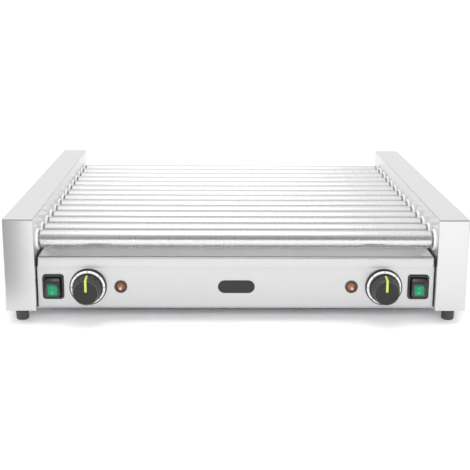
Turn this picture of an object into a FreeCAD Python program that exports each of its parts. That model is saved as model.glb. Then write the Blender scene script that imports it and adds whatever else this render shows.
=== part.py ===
import FreeCAD, Part
import math
import os
import re

import Sketcher

# Hot dog roller grill for a counter top.
# Fourteen heated tubes turn between two side housings.  A chain in the left housing drives
# them all the same way, a drip tray slides out under them, and the panel below the tray's
# lip carries a switch, a thermostat and a lamp for each of the two heating zones.
# Frame: X to the right, Y to the back, Z up, origin on the counter under the middle of the box.

SIZES = {
    # the whole grill
    "width": (560, "over both side housings"),
    "depth": (505, "side housings, front to back"),
    "height": (132, "counter to the top of the housings"),
    "ground_gap": (17.5, "counter to the lower edge of the housings"),
    "foot_height": (17.8, "counter to the underside of the base plate"),
    # sheet metal
    "sheet": (1.0, "covers, panels and tray"),
    "plate": (1.5, "bearing plates"),
    "base_sheet": (1.2, "base plate, brackets and runners"),
    "bend": (2.5, "outer radius of a folded edge"),
    "flange": (12, "width of a folded flange"),
    "fit_gap": (0.3, "assembly gap between sheet parts"),
    "side_width": (37.2, "width of a side housing"),
    "setback": (10, "front and rear panels behind the ends of the housings"),
    "panel_side_gap": (1.4, "front panel to bearing plate"),
    # drip tray
    "tray_rim": (82.5, "counter to the rim of the tray"),
    "tray_depth": (10, "inside depth of the tray"),
    "tray_lean": (5, "how far the tray's walls lean inwards"),
    "tray_side_gap": (2.8, "tray rim to bearing plate"),
    "tray_front_step": (4, "front panel's face to the tray's front wall"),
    "tray_back_step": (11, "tray's back wall to the rear panel's face"),
    "lip_height": (13, "front lip of the tray"),
    "runner_drop": (10, "upright leg of a tray runner"),
    "rear_panel_top": (90, "counter to the top of the rear panel"),
    "rear_slot_pitch": (14, "between vent slots in the rear panel"),
    "rear_slot_width": (5, "vent slot in the rear panel"),
    "rear_slot_height": (28, "vent slot in the rear panel"),
    "floor_slot_pitch": (30, "between vent slots in the base plate"),
    "floor_slot_width": (6, "vent slot in the base plate"),
    "floor_slot_length": (70, "vent slot in the base plate"),
    "floor_slot_place": (80, "vent slots in front of the back of the housings"),
    # rollers
    "roller_count": (14, "number of rollers"),
    "first_roller": (25, "front of the housings to the first axis"),
    "last_roller": (31.5, "last axis to the back of the housings"),
    "roller_height": (101.3, "counter to the roller axes"),
    "roller_diameter": (21.5, "outside of a roller tube"),
    "roller_wall": (1.5, "wall of a roller tube"),
    "neck_gap": (2.0, "bush flange to the end of the tube"),
    "journal_diameter": (12, "hollow journal welded into each end"),
    "journal_bore": (9, "bore of the journal"),
    "journal_reach": (16, "journal beyond the inner wall"),
    "bush_flange_diameter": (26, "flange of a bearing bush"),
    "bush_flange": (2.8, "thickness of that flange"),
    "bush_diameter": (16, "sleeve of a bearing bush"),
    "bush_reach": (5, "sleeve beyond the inner wall"),
    "running_gap": (0.05, "radial clearance of a running fit"),
    # heating
    "heater_diameter": (6.5, "sheathed heating element"),
    "heater_reach": (27, "element beyond the inner wall"),
    "stud_diameter": (3, "terminal stud of an element"),
    "stud_length": (6, "terminal stud beyond its element"),
    "bracket_reach": (22, "element bracket beyond the inner wall"),
    "bracket_height": (20, "height of the element bracket"),
    "bracket_inset": (3, "bracket's end flange inside the bearing plate's end"),
    # drive
    "chain_pitch": (8, "pin to pin"),
    "chain_roller": (5, "roller of the chain"),
    "chain_plane": (12, "middle of the chain beyond the inner wall"),
    "chain_inner_width": (3, "between the inner plates"),
    "chain_plate": (0.75, "thickness of a link plate"),
    "chain_plate_height": (6.8, "height of a link plate"),
    "chain_pin": (2.3, "pin of the chain"),
    "roller_teeth": (8, "teeth on a roller sprocket"),
    "motor_teeth": (12, "teeth on the motor sprocket"),
    "tooth_reach": (1.2, "tooth tip beyond the pitch circle"),
    "tooth_flare": (2.2, "how much wider than its seat a tooth gap ends on each side"),
    "tooth_play": (0.02, "clearance round a chain roller in its seat, as a share of the pitch"),
    "sprocket_thickness": (2.6, "thickness of every sprocket"),
    "guide_height": (8, "height of the chain guide"),
    "motor_height": (42, "counter to the motor shaft"),
    "motor_shaft": (8, "diameter of the motor shaft"),
    "gearbox_length": (34, "gearbox along the shaft"),
    "gearbox_width": (60, "gearbox front to back"),
    "gearbox_height": (36, "gearbox top to bottom"),
    "can_diameter": (34, "motor can"),
    "can_length": (46, "motor can along the shaft"),
    # front controls
    "control_height": (45, "counter to the row of controls"),
    "switch_place": (222.7, "middle of a switch from the centre plane"),
    "switch_width": (26, "switch frame across"),
    "switch_tall": (31, "switch frame up and down"),
    "switch_corner": (4, "corner radius of the frame"),
    "switch_frame": (2.4, "switch frame in front of the panel"),
    "switch_rim": (3.2, "frame round the rocker opening"),
    "switch_depth": (26, "switch body behind the panel"),
    "switch_seat": (2, "how far the frame overlaps the panel"),
    "rocker_gap": (0.5, "rocker to its opening"),
    "rocker_reach": (9, "rocker in front of the panel"),
    "rocker_root": (4, "rocker behind the panel's face"),
    "rocker_shelf": (8, "upper end of the part that stands out, above the middle"),
    "rocker_relief": (1.5, "taken off the rocker's lower end so that it can tilt"),
    "rocker_pivot": (2, "tilting axis behind the panel's face"),
    "rocker_pin": (3, "pins the rocker tilts on"),
    "pin_reach": (0.9, "pins beyond the rocker's sides"),
    "knob_place": (180.3, "knob axis from the centre plane"),
    "dial_diameter": (45.5, "printed dial"),
    "dial_thickness": (4.5, "printed dial"),
    "knob_diameter": (37, "knob at its skirt"),
    "knob_nose": (30.5, "knob at its front edge"),
    "knob_reach": (27, "front of the knob beyond the panel"),
    "knob_edge": (1.2, "bevel round the knob's front face"),
    "knob_wall": (2, "wall of the knob"),
    "knob_face": (4, "thickness of the knob behind its front"),
    "knob_hub": (3, "wall of the knob's hub"),
    "knob_grip": (3, "front of the knob to the tip of the spindle"),
    "knob_gap": (0.8, "dial to the knob's skirt"),
    "spindle_diameter": (6, "thermostat spindle"),
    "spindle_room": (2.3, "round the spindle in the panel and the dial"),
    "bushing_wall": (2, "wall of the thermostat's threaded neck"),
    "thermostat_diameter": (36, "thermostat body"),
    "thermostat_length": (24, "thermostat body behind the panel"),
    "lamp_place": (140.8, "lamp axis from the centre plane"),
    "lamp_diameter": (15.8, "lamp bezel"),
    "lamp_bezel": (1.8, "lamp bezel in front of the panel"),
    "lamp_web": (0.6, "web of the bezel behind the lens"),
    "lens_diameter": (13, "lamp lens"),
    "lens_tip": (3, "blunt tip of the lens"),
    "lens_edge": (0.5, "chamfer of the lens tip"),
    "lens_reach": (9, "lens in front of the panel"),
    "lamp_body": (9.8, "lamp body through the panel"),
    "lamp_wall": (1.2, "wall of the lamp body"),
    "lamp_floor": (3, "solid part of the lamp body behind the panel's face"),
    "lamp_depth": (22, "lamp body behind the panel's face"),
    "lamp_edge": (0.6, "chamfer of the bezel"),
    "badge_length": (45, "blank badge plate"),
    "badge_height": (16, "blank badge plate"),
    "badge_thickness": (1.0, "blank badge plate"),
    # rear and underside
    "gland_place": (150, "cable gland from the centre plane"),
    "gland_diameter": (20, "cable gland"),
    "gland_thread": (16, "gland thread through the rear panel"),
    "gland_bore": (8, "way for the cable"),
    "gland_reach": (27, "gland beyond the rear panel"),
    "gland_dome": (5, "length of the nut's domed end"),
    "gland_shoulder": (3, "radius lost over the domed end"),
    "gland_nut": (4, "lock nut behind the rear panel"),
    "gland_tail": (8, "thread behind the rear panel"),
    "terminal_length": (36, "terminal block across"),
    "terminal_width": (20, "terminal block front to back"),
    "terminal_height": (16, "terminal block"),
    "terminal_place": (60, "terminal block in front of the rear panel's face"),
    "terminal_pitch": (11, "between its screw holes"),
    "terminal_hole": (3.2, "screw hole in the block"),
    "terminal_floor": (6, "under its screw holes"),
    "foot_diameter": (17.5, "foot at the base plate"),
    "foot_tip": (15.2, "foot at the counter"),
    "foot_round": (1.6, "rounded lower edge of a foot"),
    "foot_recess": (6, "depth of the screw's recess in a foot"),
    "foot_inset": (22.5, "foot axis behind the front of the housing"),
    "foot_side": (16, "foot axis inside the outer wall"),
    "screw_diameter": (4, "all screws"),
    "screw_head": (7, "all screw heads"),
    "screw_head_height": (2.2, "all screw heads"),
    "screw_hole_gap": (0.2, "round a screw in its hole"),
    "screw_grip": (6, "shank beyond the sheets that a screw holds"),
    "cover_screw_side": (7.2, "cover screws beyond the inner wall"),
    "cover_screw_low": (20, "lower cover screw above the base plate"),
    "cover_screw_high": (60, "upper cover screw above the base plate"),
}

doc = FreeCAD.newDocument("RollerGrill")
sheet = doc.addObject("Spreadsheet::Sheet", "Sizes")
for row, (alias, (number, note)) in enumerate(SIZES.items(), start=1):
    sheet.set(f"A{row}", alias)
    sheet.set(f"B{row}", str(number))
    sheet.set(f"C{row}", note)
    sheet.setAlias(f"B{row}", alias)
doc.recompute()

# Places worked out from the sizes, as formulas.
FRONT = "(-(depth + gland_reach - knob_reach) / 2)"
BACK = f"({FRONT} + depth)"
OUTER = "(width / 2)"
INNER = "(width / 2 - side_width)"
PANEL = f"({FRONT} + setback)"
REAR_PANEL = f"({BACK} - setback)"
FLOOR = "(foot_height + base_sheet)"
FIRST_AXIS = f"({FRONT} + first_roller)"
PITCH = "((depth - first_roller - last_roller) / (roller_count - 1))"
TUBE_END = f"({INNER} - bush_flange - neck_gap)"
PLATE_TOP = "(height - sheet - fit_gap)"
PLATE_FRONT = f"({FRONT} + sheet + fit_gap)"
PLATE_BACK = f"({BACK} - sheet - fit_gap)"
PANEL_HALF = f"({INNER} - panel_side_gap)"
TRAY_HALF = f"({INNER} - tray_side_gap)"
TRAY_FLOOR = "(tray_rim - tray_depth - sheet)"
TRAY_FRONT = f"({PANEL} + tray_front_step)"
TRAY_BACK = f"({REAR_PANEL} - tray_back_step)"
PANEL_TOP = f"({TRAY_FLOOR} - fit_gap)"
CHAIN_X = f"(-({INNER} + chain_plane))"
CHAIN_TOP = "(roller_height + roller_teeth * chain_pitch / (2 * pi) + chain_plate_height / 2)"
MOTOR_Y = f"({FIRST_AXIS} + {PITCH} * (roller_count - 1) / 2)"
GEARBOX_FACE = f"({INNER} - fit_gap)"
SCREW_HOLE = "(screw_diameter / 2 + screw_hole_gap)"
SPINDLE_HOLE = "(spindle_diameter / 2 + spindle_room)"


def formula(text):
    """Write a formula of size names as a spreadsheet expression."""
    return re.sub(r"[a-z_]+", lambda word: "Sizes." + word[0] if word[0] in SIZES else word[0], str(text))


def value(text):
    """Work a formula out as a plain number."""
    return float(sheet.evalExpression(formula(text)))


def bind(item, formulas):
    """Bind each named property of an object to its formula."""
    for prop, text in formulas.items():
        item.setExpression(prop, formula(text))


def place(item, x=0, y=0, z=0):
    """Bind an object's position."""
    bind(item, {"Placement.Base.x": x, "Placement.Base.y": y, "Placement.Base.z": z})
    return item


def span(side, near, far):
    """Give the low and high formulas of a stretch that lies between near and far on one side."""
    if side > 0:
        return (near, far)
    return (f"(-({far}))", f"(-({near}))")


# --- Sketches and PartDesign bodies -------------------------------------------------------

def pin_point(sketch, item, point, spot):
    """Hold one point of a sketch at its pair of formulas."""
    for kind, text in zip(("DistanceX", "DistanceY"), spot):
        rule = Sketcher.Constraint(kind, -1, 1, item, point, value(text))
        sketch.setExpression(f"Constraints[{sketch.addConstraint(rule)}]", formula(text))


def outline(*points):
    """A closed loop of straight lines through pairs of formulas."""
    def draw(sketch):
        corners = [FreeCAD.Vector(value(across), value(up), 0) for across, up in points]
        first = sketch.GeometryCount
        count = len(points)
        for step in range(count):
            sketch.addGeometry(Part.LineSegment(corners[step], corners[(step + 1) % count]), False)
        for step in range(count):
            joint = Sketcher.Constraint("Coincident", first + step, 2, first + (step + 1) % count, 1)
            sketch.addConstraint(joint)
            pin_point(sketch, first + step, 1, points[step])
    return draw


def rectangle(across, up):
    """A rectangle between two pairs of formulas."""
    return outline((across[0], up[0]), (across[1], up[0]), (across[1], up[1]), (across[0], up[1]))


def circle(across, up, radius):
    """A circle of a sketch, from formulas."""
    def draw(sketch):
        centre = FreeCAD.Vector(value(across), value(up), 0)
        shape = Part.Circle(centre, FreeCAD.Vector(0, 0, 1), value(radius))
        item = sketch.addGeometry(shape, False)
        pin_point(sketch, item, 3, (across, up))
        rule = sketch.addConstraint(Sketcher.Constraint("Radius", item, value(radius)))
        sketch.setExpression(f"Constraints[{rule}]", formula(radius))
    return draw


def new_body(name):
    """An empty body whose label is its node's name."""
    body = doc.addObject("PartDesign::Body", name)
    body.Label = name
    return body


def new_sketch(body, plane, loops, offset="0"):
    """A sketch on one of the body's origin planes, moved along the plane's normal."""
    base = next(item for item in body.Origin.OriginFeatures if item.Role == plane + "_Plane")
    sketch = body.newObject("Sketcher::SketchObject", "Outline")
    sketch.AttachmentSupport = [(base, "")]
    sketch.MapMode = "FlatFace"
    for draw in loops:
        draw(sketch)
    bind(sketch, {"AttachmentOffset.Base.z": offset})
    return sketch


def pad(body, plane, loops, low, high):
    """Pad loops from low to high along the plane's axis.  XZ looks along -Y, the others along +."""
    offset = f"-({high})" if plane == "XZ" else low
    feature = body.newObject("PartDesign::Pad", "Pad")
    feature.Profile = new_sketch(body, plane, loops, offset)
    bind(feature, {"Length": f"({high}) - ({low})"})
    doc.recompute()
    return feature


def pocket(body, plane, loops, low, high):
    """Cut loops from low to high along the plane's axis, and make sure that something went."""
    before = body.Shape.Volume
    offset = low if plane == "XZ" else high
    feature = body.newObject("PartDesign::Pocket", "Pocket")
    feature.Profile = new_sketch(body, plane, loops, f"-({offset})" if plane == "XZ" else offset)
    bind(feature, {"Length": f"({high}) - ({low})"})
    doc.recompute()
    if body.Shape.Volume > before - 1e-6:
        raise RuntimeError(f"{body.Label}: a pocket cuts nothing")
    return feature


def revolve(body, points):
    """Turn an outline of (along X, radius) pairs about the body's X axis."""
    feature = body.newObject("PartDesign::Revolution", "Revolution")
    sketch = new_sketch(body, "XY", [outline(*points)])
    feature.Profile = sketch
    feature.ReferenceAxis = (sketch, ["H_Axis"])
    feature.Angle = 360
    doc.recompute()
    return feature


def turned(name, points, axis="X", at=(0, 0, 0)):
    """A body turned about its own axis, which then points along X, Y or Z."""
    body = new_body(name)
    revolve(body, points)
    turn = {"X": FreeCAD.Rotation(),
            "Y": FreeCAD.Rotation(FreeCAD.Vector(0, 0, 1), 90),
            "Z": FreeCAD.Rotation(FreeCAD.Vector(0, 1, 0), -90)}[axis]
    body.Placement = FreeCAD.Placement(FreeCAD.Vector(), turn)
    return place(body, *at)


def ring(low, high, inner, outer):
    """Outline points of a ring or, with no inner radius, of a disc."""
    return [(low, inner), (high, inner), (high, outer), (low, outer)]


def round_edges(body, radius, wanted):
    """Round those edges of a body's tip that a test picks out."""
    edges = [f"Edge{n}" for n, edge in enumerate(body.Shape.Edges, start=1) if wanted(edge)]
    if not edges:
        raise RuntimeError(f"{body.Label}: no edge to round")
    feature = body.newObject("PartDesign::Fillet", "Round")
    feature.Base = (feature.BaseFeature, edges)
    bind(feature, {"Radius": radius})
    doc.recompute()
    return feature


def runs_along(edge, axis):
    """Say whether an edge is a straight line along one axis."""
    if not isinstance(edge.Curve, (Part.Line, Part.LineSegment)):
        return False
    direction = edge.tangentAt(edge.FirstParameter)
    return abs(abs(direction.dot(axis)) - 1) < 1e-6


def near(first, second):
    """Say whether two lengths agree."""
    return abs(first - second) < 1e-4


# --- Part primitives ------------------------------------------------------------------------

def box(name, across, along, up):
    """A Part box between three pairs of formulas."""
    item = doc.addObject("Part::Box", name)
    item.Label = name
    bind(item, {"Length": f"({across[1]}) - ({across[0]})", "Width": f"({along[1]}) - ({along[0]})",
                "Height": f"({up[1]}) - ({up[0]})"})
    return place(item, across[0], along[0], up[0])


def rod(name, axis, radius, stretch, at):
    """A Part cylinder along one axis, over a stretch of it, at the two other coordinates."""
    item = doc.addObject("Part::Cylinder", name)
    item.Label = name
    turn = {"X": FreeCAD.Rotation(FreeCAD.Vector(0, 1, 0), 90),
            "Y": FreeCAD.Rotation(FreeCAD.Vector(1, 0, 0), -90),
            "Z": FreeCAD.Rotation()}[axis]
    item.Placement = FreeCAD.Placement(FreeCAD.Vector(), turn)
    bind(item, {"Radius": radius, "Height": f"({stretch[1]}) - ({stretch[0]})"})
    spot = {"X": (stretch[0], *at), "Y": (at[0], stretch[0], at[1]), "Z": (*at, stretch[0])}[axis]
    return place(item, *spot)


def join(name, items):
    """One solid fused from several."""
    item = doc.addObject("Part::MultiFuse", name)
    item.Label = name
    item.Shapes = items
    item.Refine = True
    return item


def cut(name, base, tool):
    """One solid less another."""
    item = doc.addObject("Part::Cut", name)
    item.Label = name
    item.Base = base
    item.Tool = tool
    return item


def group(name, items):
    """Separate identical solids that share one node."""
    item = doc.addObject("Part::Compound", name)
    item.Label = name
    item.Links = items
    return item


# --- Casing -----------------------------------------------------------------------------------

COVER_SCREW_X = f"({INNER} + cover_screw_side)"
COVER_SCREW_HEIGHTS = [f"({FLOOR} + cover_screw_low)", f"({FLOOR} + cover_screw_high)"]
FOOT_SPOTS = [(side, along) for side in (-1, 1)
              for along in (f"({FRONT} + foot_inset)", f"({BACK} - foot_inset)")]
FOOT_X = f"({OUTER} - foot_side)"


def side_cover(name, side):
    """The folded outer shell of a side housing, open underneath and towards the rollers."""
    body = new_body(name)
    across = span(side, INNER, OUTER)
    pad(body, "XY", [rectangle(across, (FRONT, BACK))], "ground_gap", "height")
    outer = side * value(OUTER)
    front, back, top = value(FRONT), value(BACK), value("height")

    def is_bend(edge):
        middle = edge.CenterOfMass
        upright = runs_along(edge, FreeCAD.Vector(0, 0, 1)) and near(middle.x, outer)
        over_top = near(middle.z, top) and (near(middle.x, outer) or near(middle.y, front)
                                            or near(middle.y, back))
        return upright or over_top
    round_edges(body, "bend", is_bend)
    inner = side * value(INNER)
    lower = value("ground_gap")
    faces = [f"Face{n}" for n, face in enumerate(body.Shape.Faces, start=1)
             if near(face.CenterOfMass.x, inner) or near(face.CenterOfMass.z, lower)]
    shell = body.newObject("PartDesign::Thickness", "Shell")
    shell.Base = (shell.BaseFeature, faces)
    shell.Reversed = True
    bind(shell, {"Value": "sheet"})
    doc.recompute()
    holes = [circle(f"{side} * {COVER_SCREW_X}", up, SCREW_HOLE) for up in COVER_SCREW_HEIGHTS]
    pocket(body, "XZ", holes, f"{BACK} - sheet - 1", f"{BACK} + 1")
    return place(body)


def bearing_plate(name, side):
    """The polished inner wall that carries the bushes, with a foot flange on the base plate."""
    body = new_body(name)
    loops = [rectangle((PLATE_FRONT, PLATE_BACK), (FLOOR, PLATE_TOP))]
    for step in range(int(value("roller_count"))):
        loops.append(circle(f"{FIRST_AXIS} + {PITCH} * {step}", "roller_height",
                            "bush_diameter / 2 + running_gap"))
    if side < 0:
        loops.append(circle(MOTOR_Y, "motor_height", "motor_shaft / 2 + 1"))
    pad(body, "YZ", loops, *span(side, INNER, f"{INNER} + plate"))
    top = value(PLATE_TOP)

    def is_top_corner(edge):
        ends = (value(PLATE_FRONT), value(PLATE_BACK))
        middle = edge.CenterOfMass
        return (runs_along(edge, FreeCAD.Vector(1, 0, 0)) and near(middle.z, top)
                and any(near(middle.y, end) for end in ends))
    round_edges(body, "bend", is_top_corner)
    reach = span(side, f"{INNER} + plate / 2", f"{INNER} + flange")
    pad(body, "XZ", [rectangle(reach, (FLOOR, f"{FLOOR} + plate"))], PLATE_FRONT, PLATE_BACK)
    ear = [rectangle(reach, (f"{FLOOR} + plate / 2", f"{PLATE_TOP} - bend"))]
    ear += [circle(f"{side} * {COVER_SCREW_X}", up, SCREW_HOLE) for up in COVER_SCREW_HEIGHTS]
    pad(body, "XZ", ear, f"{PLATE_BACK} - plate", PLATE_BACK)
    return place(body)


def base_plate(name):
    """The bottom sheet, folded up at both sides, with holes for the feet and vent slots."""
    body = new_body(name)
    half = f"({OUTER} - sheet - fit_gap)"
    front = f"({PANEL} + sheet + fit_gap)"
    back = f"({REAR_PANEL} - sheet - fit_gap)"
    loops = [rectangle((f"-{half}", half), (front, back))]
    for side, along in FOOT_SPOTS:
        loops.append(circle(f"{side} * {FOOT_X}", along, SCREW_HOLE))
    for step in range(-3, 4):
        slot = (f"{step} * floor_slot_pitch - floor_slot_width / 2",
                f"{step} * floor_slot_pitch + floor_slot_width / 2")
        loops.append(rectangle(slot, (f"{BACK} - floor_slot_place - floor_slot_length",
                                      f"{BACK} - floor_slot_place")))
    pad(body, "XY", loops, "foot_height", FLOOR)
    for side in (-1, 1):
        wall = [rectangle((front, back), ("foot_height + base_sheet / 2", f"{FLOOR} + flange"))]
        pad(body, "YZ", wall, *span(side, f"{half} - base_sheet", half))
    return place(body)


def front_panel(name):
    """The control panel with its cut-outs, folded back along the top and the bottom."""
    body = new_body(name)
    loops = [rectangle((f"-{PANEL_HALF}", PANEL_HALF), (FLOOR, PANEL_TOP))]
    for side in (-1, 1):
        middle = f"{side} * switch_place"
        half_width = "(switch_width / 2 - switch_seat)"
        half_height = "(switch_tall / 2 - switch_seat)"
        loops.append(rectangle((f"{middle} - {half_width}", f"{middle} + {half_width}"),
                               (f"control_height - {half_height}", f"control_height + {half_height}")))
        loops.append(circle(f"{side} * knob_place", "control_height", SPINDLE_HOLE))
        loops.append(circle(f"{side} * lamp_place", "control_height", "lamp_body / 2 + fit_gap"))
    pad(body, "XZ", loops, PANEL, f"{PANEL} + sheet")
    across = (f"-{PANEL_HALF}", PANEL_HALF)
    folds = [rectangle(across, (FLOOR, f"{FLOOR} + sheet")),
             rectangle(across, (f"{PANEL_TOP} - sheet", PANEL_TOP))]
    pad(body, "XZ", folds, f"{PANEL} + sheet / 2", f"{PANEL} + flange")
    return place(body)


def rear_panel(name):
    """The back wall between the housings, with the cable gland's hole and vent slots."""
    body = new_body(name)
    loops = [rectangle((f"-{PANEL_HALF}", PANEL_HALF), (FLOOR, "rear_panel_top")),
             circle("-gland_place", "control_height", "gland_thread / 2 + fit_gap")]
    for step in range(-4, 5):
        slot = (f"{step} * rear_slot_pitch - rear_slot_width / 2",
                f"{step} * rear_slot_pitch + rear_slot_width / 2")
        loops.append(rectangle(slot, ("control_height - rear_slot_height / 2",
                                      "control_height + rear_slot_height / 2")))
    pad(body, "XZ", loops, f"{REAR_PANEL} - sheet", REAR_PANEL)
    across = (f"-{PANEL_HALF}", PANEL_HALF)
    folds = [rectangle(across, (FLOOR, f"{FLOOR} + sheet"))]
    pad(body, "XZ", folds, f"{REAR_PANEL} - flange", f"{REAR_PANEL} - sheet / 2")
    return place(body)


# --- Drip tray ----------------------------------------------------------------------------------

def drip_tray(name):
    """A shallow pan with leaning walls and a front lip that hangs over the panel's top edge."""
    body = new_body(name)
    floor_loop = rectangle((f"-({TRAY_HALF} - tray_lean)", f"{TRAY_HALF} - tray_lean"),
                           (f"{TRAY_FRONT} + tray_lean", f"{TRAY_BACK} - tray_lean"))
    rim_loop = rectangle((f"-{TRAY_HALF}", TRAY_HALF), (TRAY_FRONT, TRAY_BACK))
    loft = body.newObject("PartDesign::AdditiveLoft", "Pan")
    loft.Profile = new_sketch(body, "XY", [floor_loop], TRAY_FLOOR)
    loft.Sections = [new_sketch(body, "XY", [rim_loop], "tray_rim")]
    loft.Ruled = True
    doc.recompute()
    rim = value("tray_rim")
    top = [f"Face{n}" for n, face in enumerate(body.Shape.Faces, start=1) if near(face.CenterOfMass.z, rim)]
    shell = body.newObject("PartDesign::Thickness", "Shell")
    shell.Base = (loft, top)
    shell.Reversed = True
    bind(shell, {"Value": "sheet"})
    doc.recompute()
    face = f"({PANEL} - fit_gap - sheet)"
    across = (f"-{TRAY_HALF}", TRAY_HALF)
    pad(body, "XZ", [rectangle(across, ("tray_rim - sheet", "tray_rim"))], face, f"{TRAY_FRONT} + sheet / 2")
    pad(body, "XZ", [rectangle(across, ("tray_rim - lip_height", "tray_rim - sheet / 2"))],
        face, f"{face} + sheet")
    return place(body)


def tray_runner(name, side):
    """An angle along the bearing plate whose ledge the tray slides on."""
    body = new_body(name)
    top = f"({TRAY_FLOOR} - fit_gap)"
    wall = span(side, f"{INNER} - base_sheet", INNER)
    ledge = span(side, f"{INNER} - flange", INNER)
    stretch = (f"{PANEL} + flange + fit_gap", f"{REAR_PANEL} - flange - fit_gap")
    pad(body, "XZ", [rectangle(wall, (f"{top} - runner_drop", top))], *stretch)
    pad(body, "XZ", [rectangle(ledge, (f"{top} - base_sheet", top))], *stretch)
    return place(body)


# --- Rollers, bushes and heating ----------------------------------------------------------------

def roller_axis(step):
    """Where one roller's axis is, as formulas for Y and Z."""
    return (f"{FIRST_AXIS} + {PITCH} * {step}", "roller_height")


def roller(name, step):
    """A tube closed by end discs, each with a hollow journal, welded into one piece."""
    outer = "roller_diameter / 2"
    inside = "roller_diameter / 2 - roller_wall"
    neck = "journal_diameter / 2"
    bore = "journal_bore / 2"
    end = TUBE_END
    tip = f"({INNER} + journal_reach)"
    disc = f"({TUBE_END} - roller_wall)"
    points = [(f"-{tip}", bore), (f"-{disc}", bore), (f"-{disc}", inside), (disc, inside), (disc, bore),
              (tip, bore), (tip, neck), (end, neck), (end, outer), (f"-{end}", outer), (f"-{end}", neck),
              (f"-{tip}", neck)]
    return turned(name, points, "X", (0, *roller_axis(step)))


def bush(step, side):
    """A white bearing bush: a flange against the inner wall and a sleeve through it."""
    bore = "(journal_diameter / 2 + running_gap)"
    face = f"({INNER} - bush_flange)"
    tail = f"({INNER} + bush_reach)"
    points = [(face, bore), (tail, bore), (tail, "bush_diameter / 2"), (INNER, "bush_diameter / 2"),
              (INNER, "bush_flange_diameter / 2"), (face, "bush_flange_diameter / 2")]
    if side < 0:
        points = [(f"-{along}", radius) for along, radius in points]
    return turned(f"bush_{step}_{'left' if side < 0 else 'right'}", points, "X", (0, *roller_axis(step)))


def heating_element(step):
    """A sheathed rod that stands still inside its roller, with a terminal stud at each end."""
    reach = f"({INNER} + heater_reach)"
    tip = f"({reach} + stud_length)"
    stud = "stud_diameter / 2"
    full = "heater_diameter / 2"
    points = [(f"-{tip}", 0), (tip, 0), (tip, stud), (reach, stud), (reach, full), (f"-{reach}", full),
              (f"-{reach}", stud), (f"-{tip}", stud)]
    return turned(f"element_{step}", points, "X", (0, *roller_axis(step)))


def element_bracket(name, side):
    """The strip that holds the elements' ends, with a flange at each end to the bearing plate."""
    body = new_body(name)
    height = ("roller_height - bracket_height / 2", "roller_height + bracket_height / 2")
    front = f"({PLATE_FRONT} + bracket_inset)"
    back = f"({PLATE_BACK} - bracket_inset)"
    far = f"({INNER} + bracket_reach + base_sheet)"
    loops = [rectangle((front, back), height)]
    for step in range(int(value("roller_count"))):
        loops.append(circle(*roller_axis(step), "heater_diameter / 2 + running_gap"))
    pad(body, "YZ", loops, *span(side, f"{INNER} + bracket_reach", far))
    leg = rectangle(span(side, f"{INNER} + plate + fit_gap", far), height)
    pad(body, "XZ", [leg], front, f"{front} + base_sheet")
    pad(body, "XZ", [leg], f"{back} - base_sheet", back)
    return place(body)


# --- Chain drive --------------------------------------------------------------------------------

ROLLER_PITCH_RADIUS = "(roller_teeth * chain_pitch / (2 * pi))"
MOTOR_PITCH_RADIUS = "(motor_teeth * chain_pitch / (2 * pi))"


def chain_path():
    """The closed pitch line of the chain as straight and round stretches in the (Y, Z) plane."""
    small = value(ROLLER_PITCH_RADIUS)
    large = value(MOTOR_PITCH_RADIUS)
    axis = value("roller_height")
    front = (value(FIRST_AXIS), axis, small)
    last = value(f"{FIRST_AXIS} + {PITCH} * (roller_count - 1)")
    wheels = [front, (last, axis, small), (value(MOTOR_Y), value("motor_height"), large)]
    normals = []
    for number, (y1, z1, r1) in enumerate(wheels):
        y2, z2, r2 = wheels[(number + 1) % 3]
        reach = math.hypot(y2 - y1, z2 - z1)
        normals.append(math.atan2(z2 - z1, y2 - y1) + math.acos((r1 - r2) / reach))
    stretches = []
    for number, (y1, z1, r1) in enumerate(wheels):
        y2, z2, r2 = wheels[(number + 1) % 3]
        leave = normals[number]
        start = (y1 + r1 * math.cos(leave), z1 + r1 * math.sin(leave))
        end = (y2 + r2 * math.cos(leave), z2 + r2 * math.sin(leave))
        stretches.append(("line", math.dist(start, end), start, end))
        turn = (leave - normals[(number + 1) % 3]) % (2 * math.pi)
        stretches.append(("arc", turn * r2, (y2, z2), (r2, leave)))
    return stretches


def chain_points():
    """Evenly spaced pin places along the chain, an even number of them."""
    stretches = chain_path()
    total = sum(stretch[1] for stretch in stretches)
    count = 2 * round(total / value("chain_pitch") / 2)
    points = []
    for number in range(count):
        left = total * number / count
        for kind, length, first, second in stretches:
            if left < length:
                break
            left -= length
        if kind == "line":
            share = left / length
            points.append(tuple(a + (b - a) * share for a, b in zip(first, second)))
        else:
            radius, leave = second
            angle = leave - left / radius
            points.append((first[0] + radius * math.cos(angle), first[1] + radius * math.sin(angle)))
    return points


def mesh_angle(y, z, teeth):
    """Turn of a sprocket, in degrees, that puts a tooth gap at the chain pin nearest to it."""
    pins = sorted(chain_points(), key=lambda pin: math.hypot(pin[0] - y, pin[1] - z))
    nearest = math.degrees(math.atan2(pins[0][1] - z, pins[0][0] - y))
    step = 360 / teeth
    return nearest % step


def straight_angle(y, z, teeth):
    """Turn of a sprocket, in degrees, that a straight chain over its top has rolled it to."""
    over = min((pin for pin in chain_points() if pin[1] > z), key=lambda pin: abs(pin[0] - y))
    rolled = (over[0] - y) / value("chain_pitch") * 360 / teeth
    return (90 - rolled) % (360 / teeth)


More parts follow.
